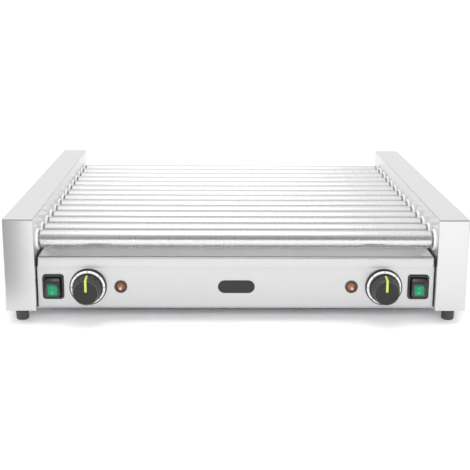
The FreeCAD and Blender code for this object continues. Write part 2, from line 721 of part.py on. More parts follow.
def sprocket_teeth(body, teeth, radius):
    """Cut the tooth gaps of a sprocket, each a round seat that opens outwards."""
    seat = "(chain_roller / 2 + tooth_play * chain_pitch)"
    edge = f"({radius} + tooth_reach + 1)"
    low = f"{CHAIN_X} - sprocket_thickness"
    high = f"{CHAIN_X} + sprocket_thickness"
    wide = f"({seat} + tooth_flare)"
    mouth = outline((radius, f"-{seat}"), (edge, f"-{wide}"), (edge, wide), (radius, seat))
    for loop in (circle(radius, "0", seat), mouth):
        gap = pocket(body, "YZ", [loop], low, high)
        pattern = body.newObject("PartDesign::PolarPattern", "Gaps")
        pattern.Originals = [gap]
        axis = next(item for item in body.Origin.OriginFeatures if item.Role == "X_Axis")
        pattern.Axis = (axis, [""])
        pattern.Angle = 360
        pattern.Occurrences = teeth
        body.Tip = pattern
        doc.recompute()


def sprocket_disc(radius):
    """Outline loop of an uncut sprocket."""
    return circle("0", "0", f"{radius} + tooth_reach")


def set_turned(body, degrees, y, z):
    """Turn a sprocket about X and put its axis in place."""
    body.Placement = FreeCAD.Placement(FreeCAD.Vector(), FreeCAD.Rotation(FreeCAD.Vector(1, 0, 0), degrees))
    return place(body, 0, y, z)


def roller_sprocket(name, step):
    """A toothed disc pressed on the left journal of a roller."""
    body = new_body(name)
    loops = [sprocket_disc(ROLLER_PITCH_RADIUS), circle("0", "0", "journal_diameter / 2")]
    half = "sprocket_thickness / 2"
    pad(body, "YZ", loops, f"{CHAIN_X} - {half}", f"{CHAIN_X} + {half}")
    teeth = int(value("roller_teeth"))
    sprocket_teeth(body, teeth, ROLLER_PITCH_RADIUS)
    y, z = roller_axis(step)
    is_end = step in (0, int(value("roller_count")) - 1)
    angle = (mesh_angle if is_end else straight_angle)(value(y), value(z), teeth)
    return set_turned(body, angle, y, z)


def motor_sprocket(name):
    """The driving sprocket and the gearbox's output shaft, which turn as one."""
    body = new_body(name)
    half = "sprocket_thickness / 2"
    pad(body, "YZ", [sprocket_disc(MOTOR_PITCH_RADIUS)], f"{CHAIN_X} - {half}", f"{CHAIN_X} + {half}")
    teeth = int(value("motor_teeth"))
    sprocket_teeth(body, teeth, MOTOR_PITCH_RADIUS)
    shaft = circle("0", "0", "motor_shaft / 2")
    pad(body, "YZ", [shaft], f"{CHAIN_X} - sprocket_thickness", f"-{GEARBOX_FACE} + gearbox_length / 2")
    angle = mesh_angle(value(MOTOR_Y), value("motor_height"), teeth)
    return set_turned(body, angle, MOTOR_Y, "motor_height")


def gear_motor(name):
    """A flat gearbox against the left bearing plate with the motor can on its far side."""
    across = (f"-{GEARBOX_FACE}", f"-{GEARBOX_FACE} + gearbox_length")
    along = (f"{MOTOR_Y} - gearbox_width / 2", f"{MOTOR_Y} + gearbox_width / 2")
    up = ("motor_height - gearbox_height / 2", "motor_height + gearbox_height / 2")
    case = box("gearbox_case", across, along, up)
    can = rod("motor_can", "X", "can_diameter / 2", (f"{across[1]} - 1", f"{across[1]} + can_length"),
              (MOTOR_Y, "motor_height"))
    bore = rod("shaft_bore", "X", "motor_shaft / 2 + running_gap",
               (f"{across[0]} - 1", f"{across[0]} + gearbox_length / 2 + fit_gap"),
               (MOTOR_Y, "motor_height"))
    return cut(name, join("motor_block", [case, can]), bore)


def link_plate(first, second, low, high, hole):
    """A stadium-shaped plate between two pins, with its two holes."""
    radius = value("chain_plate_height") / 2
    reach = FreeCAD.Vector(0, second[0] - first[0], second[1] - first[1])
    side = FreeCAD.Vector(1, 0, 0).cross(reach).normalize() * radius
    along = FreeCAD.Vector(reach).normalize() * radius
    start = FreeCAD.Vector(low, *first)
    end = FreeCAD.Vector(low, *second)
    edges = [Part.LineSegment(start + side, end + side).toShape(),
             Part.Arc(end + side, end + along, end - side).toShape(),
             Part.LineSegment(end - side, start - side).toShape(),
             Part.Arc(start - side, start - along, start + side).toShape()]
    plate = Part.Face(Part.Wire(edges)).extrude(FreeCAD.Vector(high - low, 0, 0))
    if hole:
        axis = FreeCAD.Vector(1, 0, 0)
        plate = plate.cut([Part.makeCylinder(hole, high - low, spot, axis) for spot in (start, end)])
    return plate


def chain_link(first, second, is_inner):
    """An inner link with its two rollers or an outer link with its two pins, as one solid."""
    middle = value(CHAIN_X)
    thickness = value("chain_plate")
    pin = value("chain_pin") / 2
    gap = value("running_gap")
    axis = FreeCAD.Vector(1, 0, 0)
    half = value("chain_inner_width") / 2
    if is_inner:
        inside, radius, bore = half, value("chain_roller") / 2, pin + gap
    else:
        inside, radius, bore = half + thickness + gap, pin, 0
    length = 2 * inside
    shapes = []
    for low in (middle - inside - thickness, middle + inside):
        shapes.append(link_plate(first, second, low, low + thickness, bore))
    for spot in (first, second):
        start = FreeCAD.Vector(middle - inside, *spot)
        bar = Part.makeCylinder(radius, length, start, axis)
        if bore:
            bar = bar.cut(Part.makeCylinder(bore, length, start, axis))
        shapes.append(bar)
    return shapes[0].fuse(shapes[1:]).removeSplitter().Solids[0]


def drive_chain(name):
    """The roller chain: inner and outer links in turn along the pitch line."""
    pins = chain_points()
    links = [chain_link(pins[n], pins[(n + 1) % len(pins)], n % 2 == 0) for n in range(len(pins))]
    item = doc.addObject("Part::Feature", name)
    item.Label = name
    item.Shape = Part.makeCompound(links)
    item.Placement = FreeCAD.Placement()
    return item


def chain_guide(name):
    """The rail that keeps the chain down on the sprockets, on a foot against the bearing plate."""
    body = new_body(name)
    low = f"({CHAIN_TOP} + fit_gap)"
    stretch = (FIRST_AXIS, f"{FIRST_AXIS} + {PITCH} * (roller_count - 1)")
    across = span(-1, f"{INNER} + plate", f"{INNER} + chain_plane + chain_inner_width * 1.5")
    pad(body, "XZ", [rectangle(across, (low, f"{low} + guide_height"))], *stretch)
    return place(body)


# --- Front controls -------------------------------------------------------------------------------

def switch_housing(name, side):
    """A snap-in switch: a rounded frame on the panel and a body behind it, hollow for the rocker."""
    body = new_body(name)
    middle = f"{side} * switch_place"

    def block(half_width, half_height):
        return rectangle((f"{middle} - {half_width}", f"{middle} + {half_width}"),
                         (f"control_height - {half_height}", f"control_height + {half_height}"))
    pad(body, "XZ", [block("switch_width / 2", "switch_tall / 2")], f"{PANEL} - switch_frame", PANEL)
    round_edges(body, "switch_corner", lambda edge: runs_along(edge, FreeCAD.Vector(0, 1, 0)))
    inset = "(switch_seat + fit_gap)"
    pad(body, "XZ", [block(f"(switch_width / 2 - {inset})", f"(switch_tall / 2 - {inset})")],
        f"{PANEL} - switch_frame / 2", f"{PANEL} + switch_depth")
    pocket(body, "XZ", [block("(switch_width / 2 - switch_rim)", "(switch_tall / 2 - switch_rim)")],
           f"{PANEL} - switch_frame - 1", f"{PANEL} + switch_depth / 2")
    pocket(body, "YZ", [circle(f"{PANEL} + rocker_pivot", "control_height", "rocker_pin / 2 + running_gap")],
           f"{middle} - switch_width / 2", f"{middle} + switch_width / 2")
    return place(body)


def rocker(name, side):
    """The lit rocker: a block whose lower part stands out, tilting on a pin at each side."""
    body = new_body(name)
    half = "(switch_tall / 2 - switch_rim - rocker_gap)"
    face = "rocker_reach"
    low = f"-{half} + rocker_relief"
    profile = outline(("rocker_root", low), (f"-{face}", low), (f"-{face}", "rocker_shelf"),
                      ("-switch_frame - sheet", half), ("rocker_root", f"{half} - rocker_relief"))
    width = "(switch_width / 2 - switch_rim - rocker_gap)"
    middle = f"{side} * switch_place"
    pad(body, "YZ", [profile], f"{middle} - {width}", f"{middle} + {width}")
    pad(body, "YZ", [circle("rocker_pivot", "0", "rocker_pin / 2")],
        f"{middle} - {width} - pin_reach", f"{middle} + {width} + pin_reach")
    return place(body, 0, PANEL, "control_height")


def dial(name, side):
    """The printed ring on the panel behind a knob."""
    points = ring(f"{PANEL} - dial_thickness", PANEL, SPINDLE_HOLE, "dial_diameter / 2")
    return turned(name, points, "Y", (f"{side} * knob_place", 0, "control_height"))


def knob(name, side):
    """A tapered knob, hollow behind, on the thermostat's spindle."""
    front = f"({PANEL} - knob_reach)"
    skirt = f"({PANEL} - dial_thickness - knob_gap)"
    hole = "(spindle_diameter / 2)"
    hub = f"({hole} + knob_hub)"
    floor = f"({front} + knob_face)"
    points = [(front, 0), (f"{front} + knob_grip", 0), (f"{front} + knob_grip", hole), (skirt, hole),
              (skirt, hub), (floor, hub), (floor, "knob_nose / 2 - knob_wall"),
              (skirt, "knob_diameter / 2 - knob_wall"), (skirt, "knob_diameter / 2"),
              (f"{front} + knob_edge", "knob_nose / 2"), (front, "knob_nose / 2 - knob_edge")]
    return turned(name, points, "Y", (f"{side} * knob_place", 0, "control_height"))


def spindle(name, side):
    """The thermostat's shaft, which turns with the knob."""
    points = ring(f"{PANEL} - knob_reach + knob_grip", f"{PANEL} + sheet + thermostat_length / 2", "0",
                  "spindle_diameter / 2")
    return turned(name, points, "Y", (f"{side} * knob_place", 0, "control_height"))


def thermostat(side):
    """A thermostat behind the panel, with a bored bushing through it for the spindle."""
    bore = "(spindle_diameter / 2 + running_gap)"
    start = f"({PANEL} + sheet)"
    floor = f"({start} + thermostat_length / 2 + fit_gap)"
    end = f"({start} + thermostat_length)"
    neck = "(spindle_diameter / 2 + bushing_wall)"
    points = [(PANEL, bore), (floor, bore), (floor, 0), (end, 0), (end, "thermostat_diameter / 2"),
              (start, "thermostat_diameter / 2"), (start, neck), (PANEL, neck)]
    return turned(f"thermostat_{'left' if side < 0 else 'right'}", points, "Y",
                  (f"{side} * knob_place", 0, "control_height"))


def lamp_bezel(side):
    """A lamp's ring in front of the panel and its barrel through it, with a seat for the lens."""
    front = f"({PANEL} - lamp_bezel)"
    web = f"({PANEL} - lamp_web)"
    floor = f"({PANEL} + lamp_floor)"
    end = f"({PANEL} + lamp_depth)"
    seat = "(lamp_body / 2 - lamp_wall)"
    points = [(front, "lens_diameter / 2"), (web, "lens_diameter / 2"), (web, seat), (floor, seat),
              (floor, 0), (end, 0), (end, "lamp_body / 2"), (PANEL, "lamp_body / 2"),
              (PANEL, "lamp_diameter / 2"), (f"{front} + lamp_edge", "lamp_diameter / 2"),
              (front, "lamp_diameter / 2 - lamp_edge")]
    return turned(f"lamp_bezel_{'left' if side < 0 else 'right'}", points, "Y",
                  (f"{side} * lamp_place", 0, "control_height"))


def lamp_lens(side):
    """The conical lens in its bezel."""
    tip = f"({PANEL} - lens_reach)"
    root = "(lens_diameter / 2 - running_gap)"
    back = f"({PANEL} - lamp_web - running_gap)"
    points = [(tip, 0), (back, 0), (back, root), (f"{PANEL} - lamp_bezel", root),
              (f"{tip} + lens_edge", "lens_tip / 2"), (tip, "lens_tip / 2 - lens_edge")]
    return turned(f"lamp_lens_{'left' if side < 0 else 'right'}", points, "Y",
                  (f"{side} * lamp_place", 0, "control_height"))


def badge_plate(name):
    """A blank plate with round ends in the middle of the panel."""
    stretch = (f"{PANEL} - badge_thickness", PANEL)
    straight = "(badge_length / 2 - badge_height / 2)"
    radius = "badge_height / 2"
    bar = box("badge_bar", (f"-{straight}", straight), stretch,
              (f"control_height - {radius}", f"control_height + {radius}"))
    ends = [rod(f"badge_end_{side}", "Y", radius, stretch, (f"{side} * {straight}", "control_height"))
            for side in (-1, 1)]
    return join(name, [bar, *ends])


# --- Rear, underside and fasteners ------------------------------------------------------------------

def cable_gland(name):
    """The gland in the rear panel: a domed nut outside, a thread through it and a lock nut inside."""
    bore = "gland_bore / 2"
    thread = "gland_thread / 2"
    tip = f"({REAR_PANEL} + gland_reach)"
    inside = f"({REAR_PANEL} - sheet)"
    outer = "gland_diameter / 2"
    nut = f"({inside} - gland_nut)"
    tail = f"({inside} - gland_tail)"
    points = [(tail, bore), (tip, bore), (tip, f"{outer} - gland_shoulder"), (f"{tip} - gland_dome", outer),
              (REAR_PANEL, outer), (REAR_PANEL, thread), (inside, thread), (inside, outer), (nut, outer),
              (nut, thread), (tail, thread)]
    return turned(name, points, "Y", ("-gland_place", 0, "control_height"))


def terminal_block(name):
    """The mains terminal block on the base plate beside the gland."""
    middle = f"({REAR_PANEL} - terminal_place)"
    across = ("-gland_place - terminal_length / 2", "-gland_place + terminal_length / 2")
    along = (f"{middle} - terminal_width / 2", f"{middle} + terminal_width / 2")
    block = box("terminal_body", across, along, (FLOOR, f"{FLOOR} + terminal_height"))
    stretch = (f"{FLOOR} + terminal_floor", f"{FLOOR} + terminal_height + 1")
    holes = [rod(f"terminal_hole_{n}", "Z", "terminal_hole / 2", stretch,
                 (f"-gland_place + {n} * terminal_pitch", middle)) for n in (-1, 0, 1)]
    return cut(name, block, join("terminal_holes", holes))


def foot(number, side, along):
    """A tapered rubber foot with a recess for its screw."""
    top = "foot_height"
    hole = SCREW_HOLE
    recess = "(screw_head / 2 + screw_hole_gap)"
    seat = "foot_recess"
    tip = "foot_tip / 2"
    points = [("0", recess), (seat, recess), (seat, hole), (top, hole), (top, "foot_diameter / 2"),
              ("foot_round", tip), ("foot_round * 0.3", f"{tip} - foot_round * 0.3"),
              ("0", f"{tip} - foot_round")]
    return turned(f"foot_{number}", points, "Z", (f"{side} * {FOOT_X}", along, 0))


def screw(name, axis, head, tip, at):
    """A screw along one axis: its head starts at head and its shank ends at tip."""
    way = 1 if value(tip) > value(head) else -1
    seat = f"({head} + {way} * screw_head_height)"
    points = [(head, 0), (tip, 0), (tip, "screw_diameter / 2"), (seat, "screw_diameter / 2"),
              (seat, "screw_head / 2"), (head, "screw_head / 2")]
    return turned(name, points, axis, at)


def screws():
    """The screws of the covers and of the feet."""
    items = []
    for side in (-1, 1):
        for number, up in enumerate(COVER_SCREW_HEIGHTS):
            at = (f"{side} * {COVER_SCREW_X}", 0, up)
            items.append(screw(f"cover_screw_{side}_{number}", "Y", f"({BACK} + screw_head_height)",
                               f"({BACK} - screw_grip)", at))
    for number, (side, along) in enumerate(FOOT_SPOTS):
        head = "(foot_recess - screw_head_height)"
        items.append(screw(f"foot_screw_{number}", "Z", head, f"({FLOOR} + screw_grip)",
                           (f"{side} * {FOOT_X}", along, 0)))
    return items


# --- The whole grill ----------------------------------------------------------------------------------

ROLLERS = range(int(value("roller_count")))
SIDES = (-1, 1)

nodes = [
    side_cover("side_cover_left", -1),
    side_cover("side_cover_right", 1),
    bearing_plate("bearing_plate_left", -1),
    bearing_plate("bearing_plate_right", 1),
    base_plate("base_plate"),
    front_panel("front_panel"),
    rear_panel("rear_panel"),
    drip_tray("drip_tray"),
    group("tray_runners", [tray_runner(f"runner_{side}", side) for side in SIDES]),
    group("roller_bushes", [bush(step, side) for step in ROLLERS for side in SIDES]),
    group("heating_elements", [heating_element(step) for step in ROLLERS]),
    group("element_brackets", [element_bracket(f"bracket_{side}", side) for side in SIDES]),
    gear_motor("gear_motor"),
    motor_sprocket("motor_sprocket"),
    drive_chain("drive_chain"),
    chain_guide("chain_guide"),
    group("thermostats", [thermostat(side) for side in SIDES]),
    group("lamp_bezels", [lamp_bezel(side) for side in SIDES]),
    group("lamp_lenses", [lamp_lens(side) for side in SIDES]),
    badge_plate("badge_plate"),
    cable_gland("cable_gland"),
    terminal_block("terminal_block"),
    group("feet", [foot(number, *spot) for number, spot in enumerate(FOOT_SPOTS)]),
    group("screws", screws()),
]
for step in ROLLERS:
    nodes.append(roller(f"roller_{step + 1:02d}", step))
    nodes.append(roller_sprocket(f"sprocket_{step + 1:02d}", step))
group_items = {"switch_housings": switch_housing, "dials": dial}
for name, make in group_items.items():
    nodes.append(group(name, [make(f"{name}_{side}", side) for side in SIDES]))
for side, word in zip(SIDES, ("left", "right")):
    nodes.append(rocker(f"rocker_{word}", side))
    nodes.append(knob(f"knob_{word}", side))
    nodes.append(spindle(f"thermostat_spindle_{word}", side))

doc.recompute()
for item in doc.Objects:
    if "Invalid" in item.State or "Error" in item.State:
        raise RuntimeError(f"{item.Label} failed: {item.State}")
os.makedirs("parts", exist_ok=True)
for node in nodes:
    if node.Shape.isNull() or not node.Shape.isValid():
        raise RuntimeError(f"{node.Label} has a bad shape")
    node.Shape.exportStep(f"parts/{node.Label}.step")
print(len(nodes), "nodes")
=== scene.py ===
"""Looks of a hot dog roller grill with two heating zones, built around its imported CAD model."""
import math

import bmesh
import bpy
from mathutils import Matrix, Vector


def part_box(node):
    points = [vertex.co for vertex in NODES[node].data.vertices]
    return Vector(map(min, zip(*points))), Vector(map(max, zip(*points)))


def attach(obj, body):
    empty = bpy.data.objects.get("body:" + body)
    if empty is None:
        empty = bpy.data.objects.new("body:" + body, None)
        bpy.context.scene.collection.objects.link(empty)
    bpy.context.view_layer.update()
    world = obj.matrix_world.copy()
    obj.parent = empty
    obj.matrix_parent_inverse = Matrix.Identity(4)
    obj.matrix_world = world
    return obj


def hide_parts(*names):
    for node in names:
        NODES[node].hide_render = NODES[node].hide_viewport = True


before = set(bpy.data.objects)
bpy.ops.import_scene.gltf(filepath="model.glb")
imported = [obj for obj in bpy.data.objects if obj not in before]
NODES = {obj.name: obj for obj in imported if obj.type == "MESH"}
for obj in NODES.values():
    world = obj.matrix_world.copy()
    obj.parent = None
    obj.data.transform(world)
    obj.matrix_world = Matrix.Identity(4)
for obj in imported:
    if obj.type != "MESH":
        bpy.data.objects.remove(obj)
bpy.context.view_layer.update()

MM = 0.001
FULL_TURN = 2 * math.pi
SIDES = {"left": -1, "right": 1}


def mm(*sizes):
    """Sizes given in millimetres, in metres."""
    return tuple(size * MM for size in sizes)


# --- Camera and studio ----------------------------------------------------------------------

CAMERA_SPOT = (-0.0243, -1.4120, 0.4050)
CAMERA_DOWN, CAMERA_SIDEWAYS, CAMERA_ROLL = 14.150, 1.09, 0.377      # degrees
SENSOR_WIDTH, LENS = 36, 76.67                                       # millimetres


def make_camera():
    """The camera stands a little left of the middle and looks down on the grill."""
    down, sideways, roll = (math.radians(turn) for turn in (CAMERA_DOWN, CAMERA_SIDEWAYS, CAMERA_ROLL))
    level = Vector((math.sin(sideways), math.cos(sideways), 0))
    ahead = level * math.cos(down) - Vector((0, 0, math.sin(down)))
    across = Vector((math.cos(sideways), -math.sin(sideways), 0))
    upward = across.cross(ahead)
    right = across * math.cos(roll) + upward * math.sin(roll)
    top = upward * math.cos(roll) - across * math.sin(roll)
    data = bpy.data.cameras.new("camera")
    data.sensor_width = SENSOR_WIDTH
    data.lens = LENS
    camera = bpy.data.objects.new("camera", data)
    turn = Matrix((right, top, -ahead)).transposed().to_4x4()
    camera.matrix_world = Matrix.Translation(CAMERA_SPOT) @ turn
    bpy.context.scene.collection.objects.link(camera)
    bpy.context.scene.camera = camera


HORIZON, ZENITH = 1.18, 1.22
ZENITH_FROM = 0.7                # height on a unit ball from which the room has its zenith's grey
FRONT_SHADE = 0.34               # share of the light left in the middle of the dark patch
FRONT_SHADE_TOWARDS = Vector((0.12, -0.95, 0.28)).normalized()
FRONT_SHADE_EDGE, FRONT_SHADE_CORE = 0.55, 0.93      # cosines where that patch starts and is full


def make_world():
    """A white room that is brighter overhead and darker behind the camera."""
    world = bpy.data.worlds.new("studio")
    world.use_nodes = True
    bpy.context.scene.world = world
    nodes, links = world.node_tree.nodes, world.node_tree.links
    background = nodes["Background"]
    place = nodes.new("ShaderNodeTexCoord")
    blend = nodes.new("ShaderNodeMix")
    blend.data_type = "RGBA"
    blend.blend_type = "MULTIPLY"
    blend.inputs["Factor"].default_value = 1.0
    height_stops = ((0.0, HORIZON), (ZENITH_FROM, ZENITH))
    front_stops = ((FRONT_SHADE_EDGE, 1.0), (FRONT_SHADE_CORE, FRONT_SHADE))
    shades = (((0, 0, 1), height_stops, blend.inputs["A"]),
              (FRONT_SHADE_TOWARDS, front_stops, blend.inputs["B"]))
    for towards, stops, socket in shades:
        facing = nodes.new("ShaderNodeVectorMath")
        facing.operation = "DOT_PRODUCT"
        facing.inputs[1].default_value = towards
        links.new(place.outputs["Generated"], facing.inputs[0])
        ramp = nodes.new("ShaderNodeValToRGB")
        links.new(facing.outputs["Value"], ramp.inputs["Fac"])
        for element, (position, grey) in zip(ramp.color_ramp.elements, stops):
            element.position = position
            element.color = (grey, grey, grey, 1)
        links.new(ramp.outputs["Color"], socket)
    links.new(blend.outputs["Result"], background.inputs["Color"])


def area_light(name, spot, aim, size, power):
    """A soft box at a spot, aimed at a point."""
    data = bpy.data.lights.new(name, "AREA")
    data.shape = "RECTANGLE"
    data.size, data.size_y = size
    data.energy = power
    light = bpy.data.objects.new(name, data)
    light.location = spot
    light.rotation_euler = (Vector(aim) - Vector(spot)).to_track_quat("-Z", "Y").to_euler()
    bpy.context.scene.collection.objects.link(light)
    return light


def card(name, spot, across, up, grey):
    """A flat card that only shows in reflections, given by its middle and its half sides."""
    spot, across, up = Vector(spot), Vector(across), Vector(up)
    corners = [spot - across - up, spot + across - up, spot + across + up, spot - across + up]
    mesh = bpy.data.meshes.new(name)
    mesh.from_pydata(corners, [], [(0, 1, 2, 3)])
    item = bpy.data.objects.new(name, mesh)
    bpy.context.scene.collection.objects.link(item)
    mesh.materials.append(surface(name, (grey,) * 3, (grey * 1.05,) * 3, rough=(0.9, 1.0), scale=(2, 2, 2)))
    for sight in ("visible_camera", "visible_diffuse", "visible_shadow"):
        setattr(item, sight, False)


# --- Materials ------------------------------------------------------------------------------

NOISE_LOW, NOISE_HIGH = 0.3, 0.7         # the part of the noise that spans a finish's two tones
ALONG_GRAIN = 3.0                        # noise scale along a steel's grain
FACES_X = 0.7                            # a face looks along X from this share of its normal


def surface(name, dark, light, rough=(0.3, 0.4), scale=(40, 40, 40), bump=0.0, depth=0.05, detail=4.0,
            side_scale=None, **sockets):
    """A procedural finish: stretched noise tints it, varies its gloss and roughens it.

    side_scale is the noise's scale on faces that look along X, where it differs from scale."""
    material = bpy.data.materials.new(name)
    material.use_nodes = True
    nodes, links = material.node_tree.nodes, material.node_tree.links
    shader = nodes["Principled BSDF"]
    place = nodes.new("ShaderNodeTexCoord")
    stretch = nodes.new("ShaderNodeMapping")
    stretch.inputs["Scale"].default_value = scale
    links.new(place.outputs["Object"], stretch.inputs["Vector"])
    spread = stretch.outputs["Vector"]
    if side_scale:
        other = nodes.new("ShaderNodeMapping")
        other.inputs["Scale"].default_value = side_scale
        links.new(place.outputs["Object"], other.inputs["Vector"])
        split = nodes.new("ShaderNodeSeparateXYZ")
        links.new(place.outputs["Normal"], split.inputs[0])
        size = nodes.new("ShaderNodeMath")
        size.operation = "ABSOLUTE"
        links.new(split.outputs["X"], size.inputs[0])
        faces_x = nodes.new("ShaderNodeMath")
        faces_x.operation = "GREATER_THAN"
        faces_x.inputs[1].default_value = FACES_X
        links.new(size.outputs[0], faces_x.inputs[0])
        pick = nodes.new("ShaderNodeMix")
        pick.data_type = "VECTOR"
        links.new(faces_x.outputs[0], pick.inputs["Factor"])
        links.new(spread, pick.inputs["A"])
        links.new(other.outputs["Vector"], pick.inputs["B"])
        spread = pick.outputs["Result"]
    noise = nodes.new("ShaderNodeTexNoise")
    noise.inputs["Scale"].default_value = 1.0
    noise.inputs["Detail"].default_value = detail
    noise.inputs["Roughness"].default_value = 0.6
    links.new(spread, noise.inputs["Vector"])
    ramp = nodes.new("ShaderNodeValToRGB")
    for element, position, tone in zip(ramp.color_ramp.elements, (NOISE_LOW, NOISE_HIGH), (dark, light)):
        element.position = position
        element.color = (*tone, 1)
    links.new(noise.outputs["Fac"], ramp.inputs["Fac"])
    links.new(ramp.outputs["Color"], shader.inputs["Base Color"])
    gloss = nodes.new("ShaderNodeMapRange")
    gloss.inputs["From Min"].default_value = NOISE_LOW
    gloss.inputs["From Max"].default_value = NOISE_HIGH
    gloss.inputs["To Min"].default_value, gloss.inputs["To Max"].default_value = rough
    links.new(noise.outputs["Fac"], gloss.inputs["Value"])
    links.new(gloss.outputs["Result"], shader.inputs["Roughness"])
    if bump:
        dent = nodes.new("ShaderNodeBump")
        dent.inputs["Strength"].default_value = bump
        dent.inputs["Distance"].default_value = depth * MM
        links.new(noise.outputs["Fac"], dent.inputs["Height"])
        links.new(dent.outputs["Normal"], shader.inputs["Normal"])
    for socket, amount in sockets.items():
        shader.inputs[socket.replace("_", " ")].default_value = amount
    return material


def steel(name, tone, rough, along, fine=700.0, bump=0.25, spread=0.03, **more):
    """Brushed or polished steel whose grain runs along one or more axes."""
    scale = tuple(ALONG_GRAIN if axis in along else fine for axis in "XYZ")
    dark = tuple(max(0.0, part - spread) for part in tone)
    light = tuple(part + spread for part in tone)
    return surface(name, dark, light, rough=rough, scale=scale, bump=bump, depth=0.02, Metallic=1.0, **more)


def make_materials():
    """Every finish of the grill, by the record's material slot where the two match."""
    cover_steel = steel("brushed_cover", (0.57, 0.57, 0.57), (0.28, 0.36), "YZ", spread=0.012, bump=0.12,
                        side_scale=(3.0, 3.0, 1500.0), fine=1500.0)
    return {
        "stainless_brushed": cover_steel,
        "panel_steel": steel("brushed_panel", (0.52, 0.52, 0.524), (0.28, 0.38), "X", fine=900.0,
                             spread=0.018, bump=0.15),
        "stainless_polished": steel("polished_sheet", (0.70, 0.70, 0.70), (0.30, 0.36), "Y", bump=0.0,
                                    spread=0.015),
        # near-white and only a quarter metallic, so the tray's diffuse brightness stands in for its steel's
        # reflection: a painted reflection
        "tray_steel": surface("tray_sheet_painted_reflection", (0.86, 0.86, 0.865), (0.94, 0.94, 0.945), rough=(0.32, 0.44),
                              scale=(3, 700, 700), Metallic=0.25),
        "roller_steel": steel("ground_roller", (0.60, 0.60, 0.60), (0.27, 0.32), "YZ", fine=900.0,
                              bump=0.0, spread=0.012, detail=1.0),
        "zinc_steel": steel("zinc_plate", (0.55, 0.56, 0.58), (0.35, 0.5), "Y", fine=300.0),
        "element_steel": steel("element_sheath", (0.32, 0.31, 0.30), (0.35, 0.5), "X", fine=200.0),
        "bush_white": surface("white_bush", (0.66, 0.66, 0.65), (0.74, 0.74, 0.73), rough=(0.3, 0.45),
                              scale=(400, 400, 400), bump=0.05),
        "motor_grey": surface("motor_paint", (0.10, 0.11, 0.12), (0.14, 0.15, 0.16), rough=(0.35, 0.5),
                              scale=(900, 900, 900), bump=0.2),
        "guide_plastic": surface("guide_plastic", (0.70, 0.70, 0.66), (0.78, 0.78, 0.74), rough=(0.4, 0.5),
                                 scale=(300, 300, 300), bump=0.05),
        "lamp_bronze": surface("lamp_bezel_bronze", (0.035, 0.024, 0.018), (0.075, 0.05, 0.038),
                               rough=(0.16, 0.3), scale=(500, 500, 500), Metallic=0.35, Coat_Weight=0.4),
        "lamp_amber": surface("lamp_amber", (0.20, 0.075, 0.04), (0.42, 0.19, 0.11), rough=(0.1, 0.22),
                              scale=(260, 260, 260), Coat_Weight=0.6, Transmission_Weight=0.15),
        # pale ring on each lens's tip, lighter than the amber lens: a painted glint
        "lamp_tip_glint": surface("lamp_tip_glint", (0.55, 0.33, 0.27), (0.72, 0.5, 0.42), rough=(0.15, 0.25),
                            scale=(600, 600, 600), Coat_Weight=0.5),
        "badge_grey": surface("badge_grey", (0.018, 0.018, 0.018), (0.026, 0.026, 0.026), rough=(0.5, 0.6),
                              scale=(900, 900, 900), bump=0.05, Specular_IOR_Level=0.3),
        "black_plastic": surface("black_plastic", (0.010, 0.011, 0.010), (0.018, 0.019, 0.018),
                                 rough=(0.22, 0.34), scale=(1200, 1200, 1200), bump=0.08),
        "knob_charcoal": surface("knob_charcoal", (0.010, 0.0105, 0.0095), (0.017, 0.0175, 0.016),
                                 rough=(0.42, 0.54), scale=(1500, 1500, 1500), bump=0.15,
                                 Specular_IOR_Level=0.35),
        # finish of the knob's ribs and face rim: a lighter grey than the grip's charcoal, a painted
        # highlight
        "knob_rib": surface("knob_rib", (0.050, 0.051, 0.048), (0.085, 0.086, 0.082), rough=(0.30, 0.42),
                            scale=(1500, 1500, 1500), bump=0.1),
        "pointer_lime": surface("pointer_lime", (0.36, 0.41, 0.06), (0.45, 0.50, 0.10), rough=(0.35, 0.5),
                                scale=(700, 700, 700), bump=0.05),
        "dial_silver": surface("dial_white", (0.62, 0.63, 0.63), (0.70, 0.70, 0.70), rough=(0.3, 0.4),
                               scale=(60, 900, 900), bump=0.05),
        "dial_print": surface("dial_print", (0.012, 0.012, 0.012), (0.02, 0.02, 0.02), rough=(0.5, 0.6),
                              scale=(900, 900, 900)),
        "terminal_ceramic": surface("ceramic", (0.72, 0.70, 0.66), (0.80, 0.78, 0.74), rough=(0.3, 0.5),
                                    scale=(250, 250, 250), bump=0.1),
        "foot_rubber": surface("foot_rubber", (0.030, 0.032, 0.034), (0.055, 0.057, 0.06), rough=(0.5, 0.65),
                               scale=(800, 800, 800), bump=0.2),
        "rocker_green": surface("rocker_shell", (0.002, 0.014, 0.009), (0.004, 0.028, 0.018),
                                rough=(0.12, 0.22), scale=(300, 300, 300), bump=0.03, Coat_Weight=0.3),
        "rocker_lit": surface("rocker_lit", (0.003, 0.15, 0.062), (0.006, 0.22, 0.10), rough=(0.3, 0.4),
                              scale=(120, 120, 120), Specular_IOR_Level=0.3),
        "rocker_mark": surface("rocker_mark", (0.08, 0.34, 0.20), (0.12, 0.40, 0.26), rough=(0.4, 0.5),
                               scale=(300, 300, 300)),
    }


# --- Mesh helpers -----------------------------------------------------------------------------

MERGE_WITHIN = 1e-7          # metres
SMOOTH_UP_TO = 35            # degrees between faces that shade as one


def finish_piece(name, mesh, finish, body, replaced=()):
    """Turn a bmesh into a piece with its finish, body, replaced nodes and slot."""
    bmesh.ops.remove_doubles(mesh, verts=mesh.verts, dist=MERGE_WITHIN)
    bmesh.ops.recalc_face_normals(mesh, faces=mesh.faces)
    data = bpy.data.meshes.new(name)
    mesh.to_mesh(data)
    mesh.free()
    data.shade_smooth()
    data.set_sharp_from_angle(angle=math.radians(SMOOTH_UP_TO))
    item = bpy.data.objects.new(name, data)
    bpy.context.scene.collection.objects.link(item)
    data.materials.append(FINISHES[finish])
    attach(item, body)
    if replaced:
        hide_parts(*replaced)
    return item


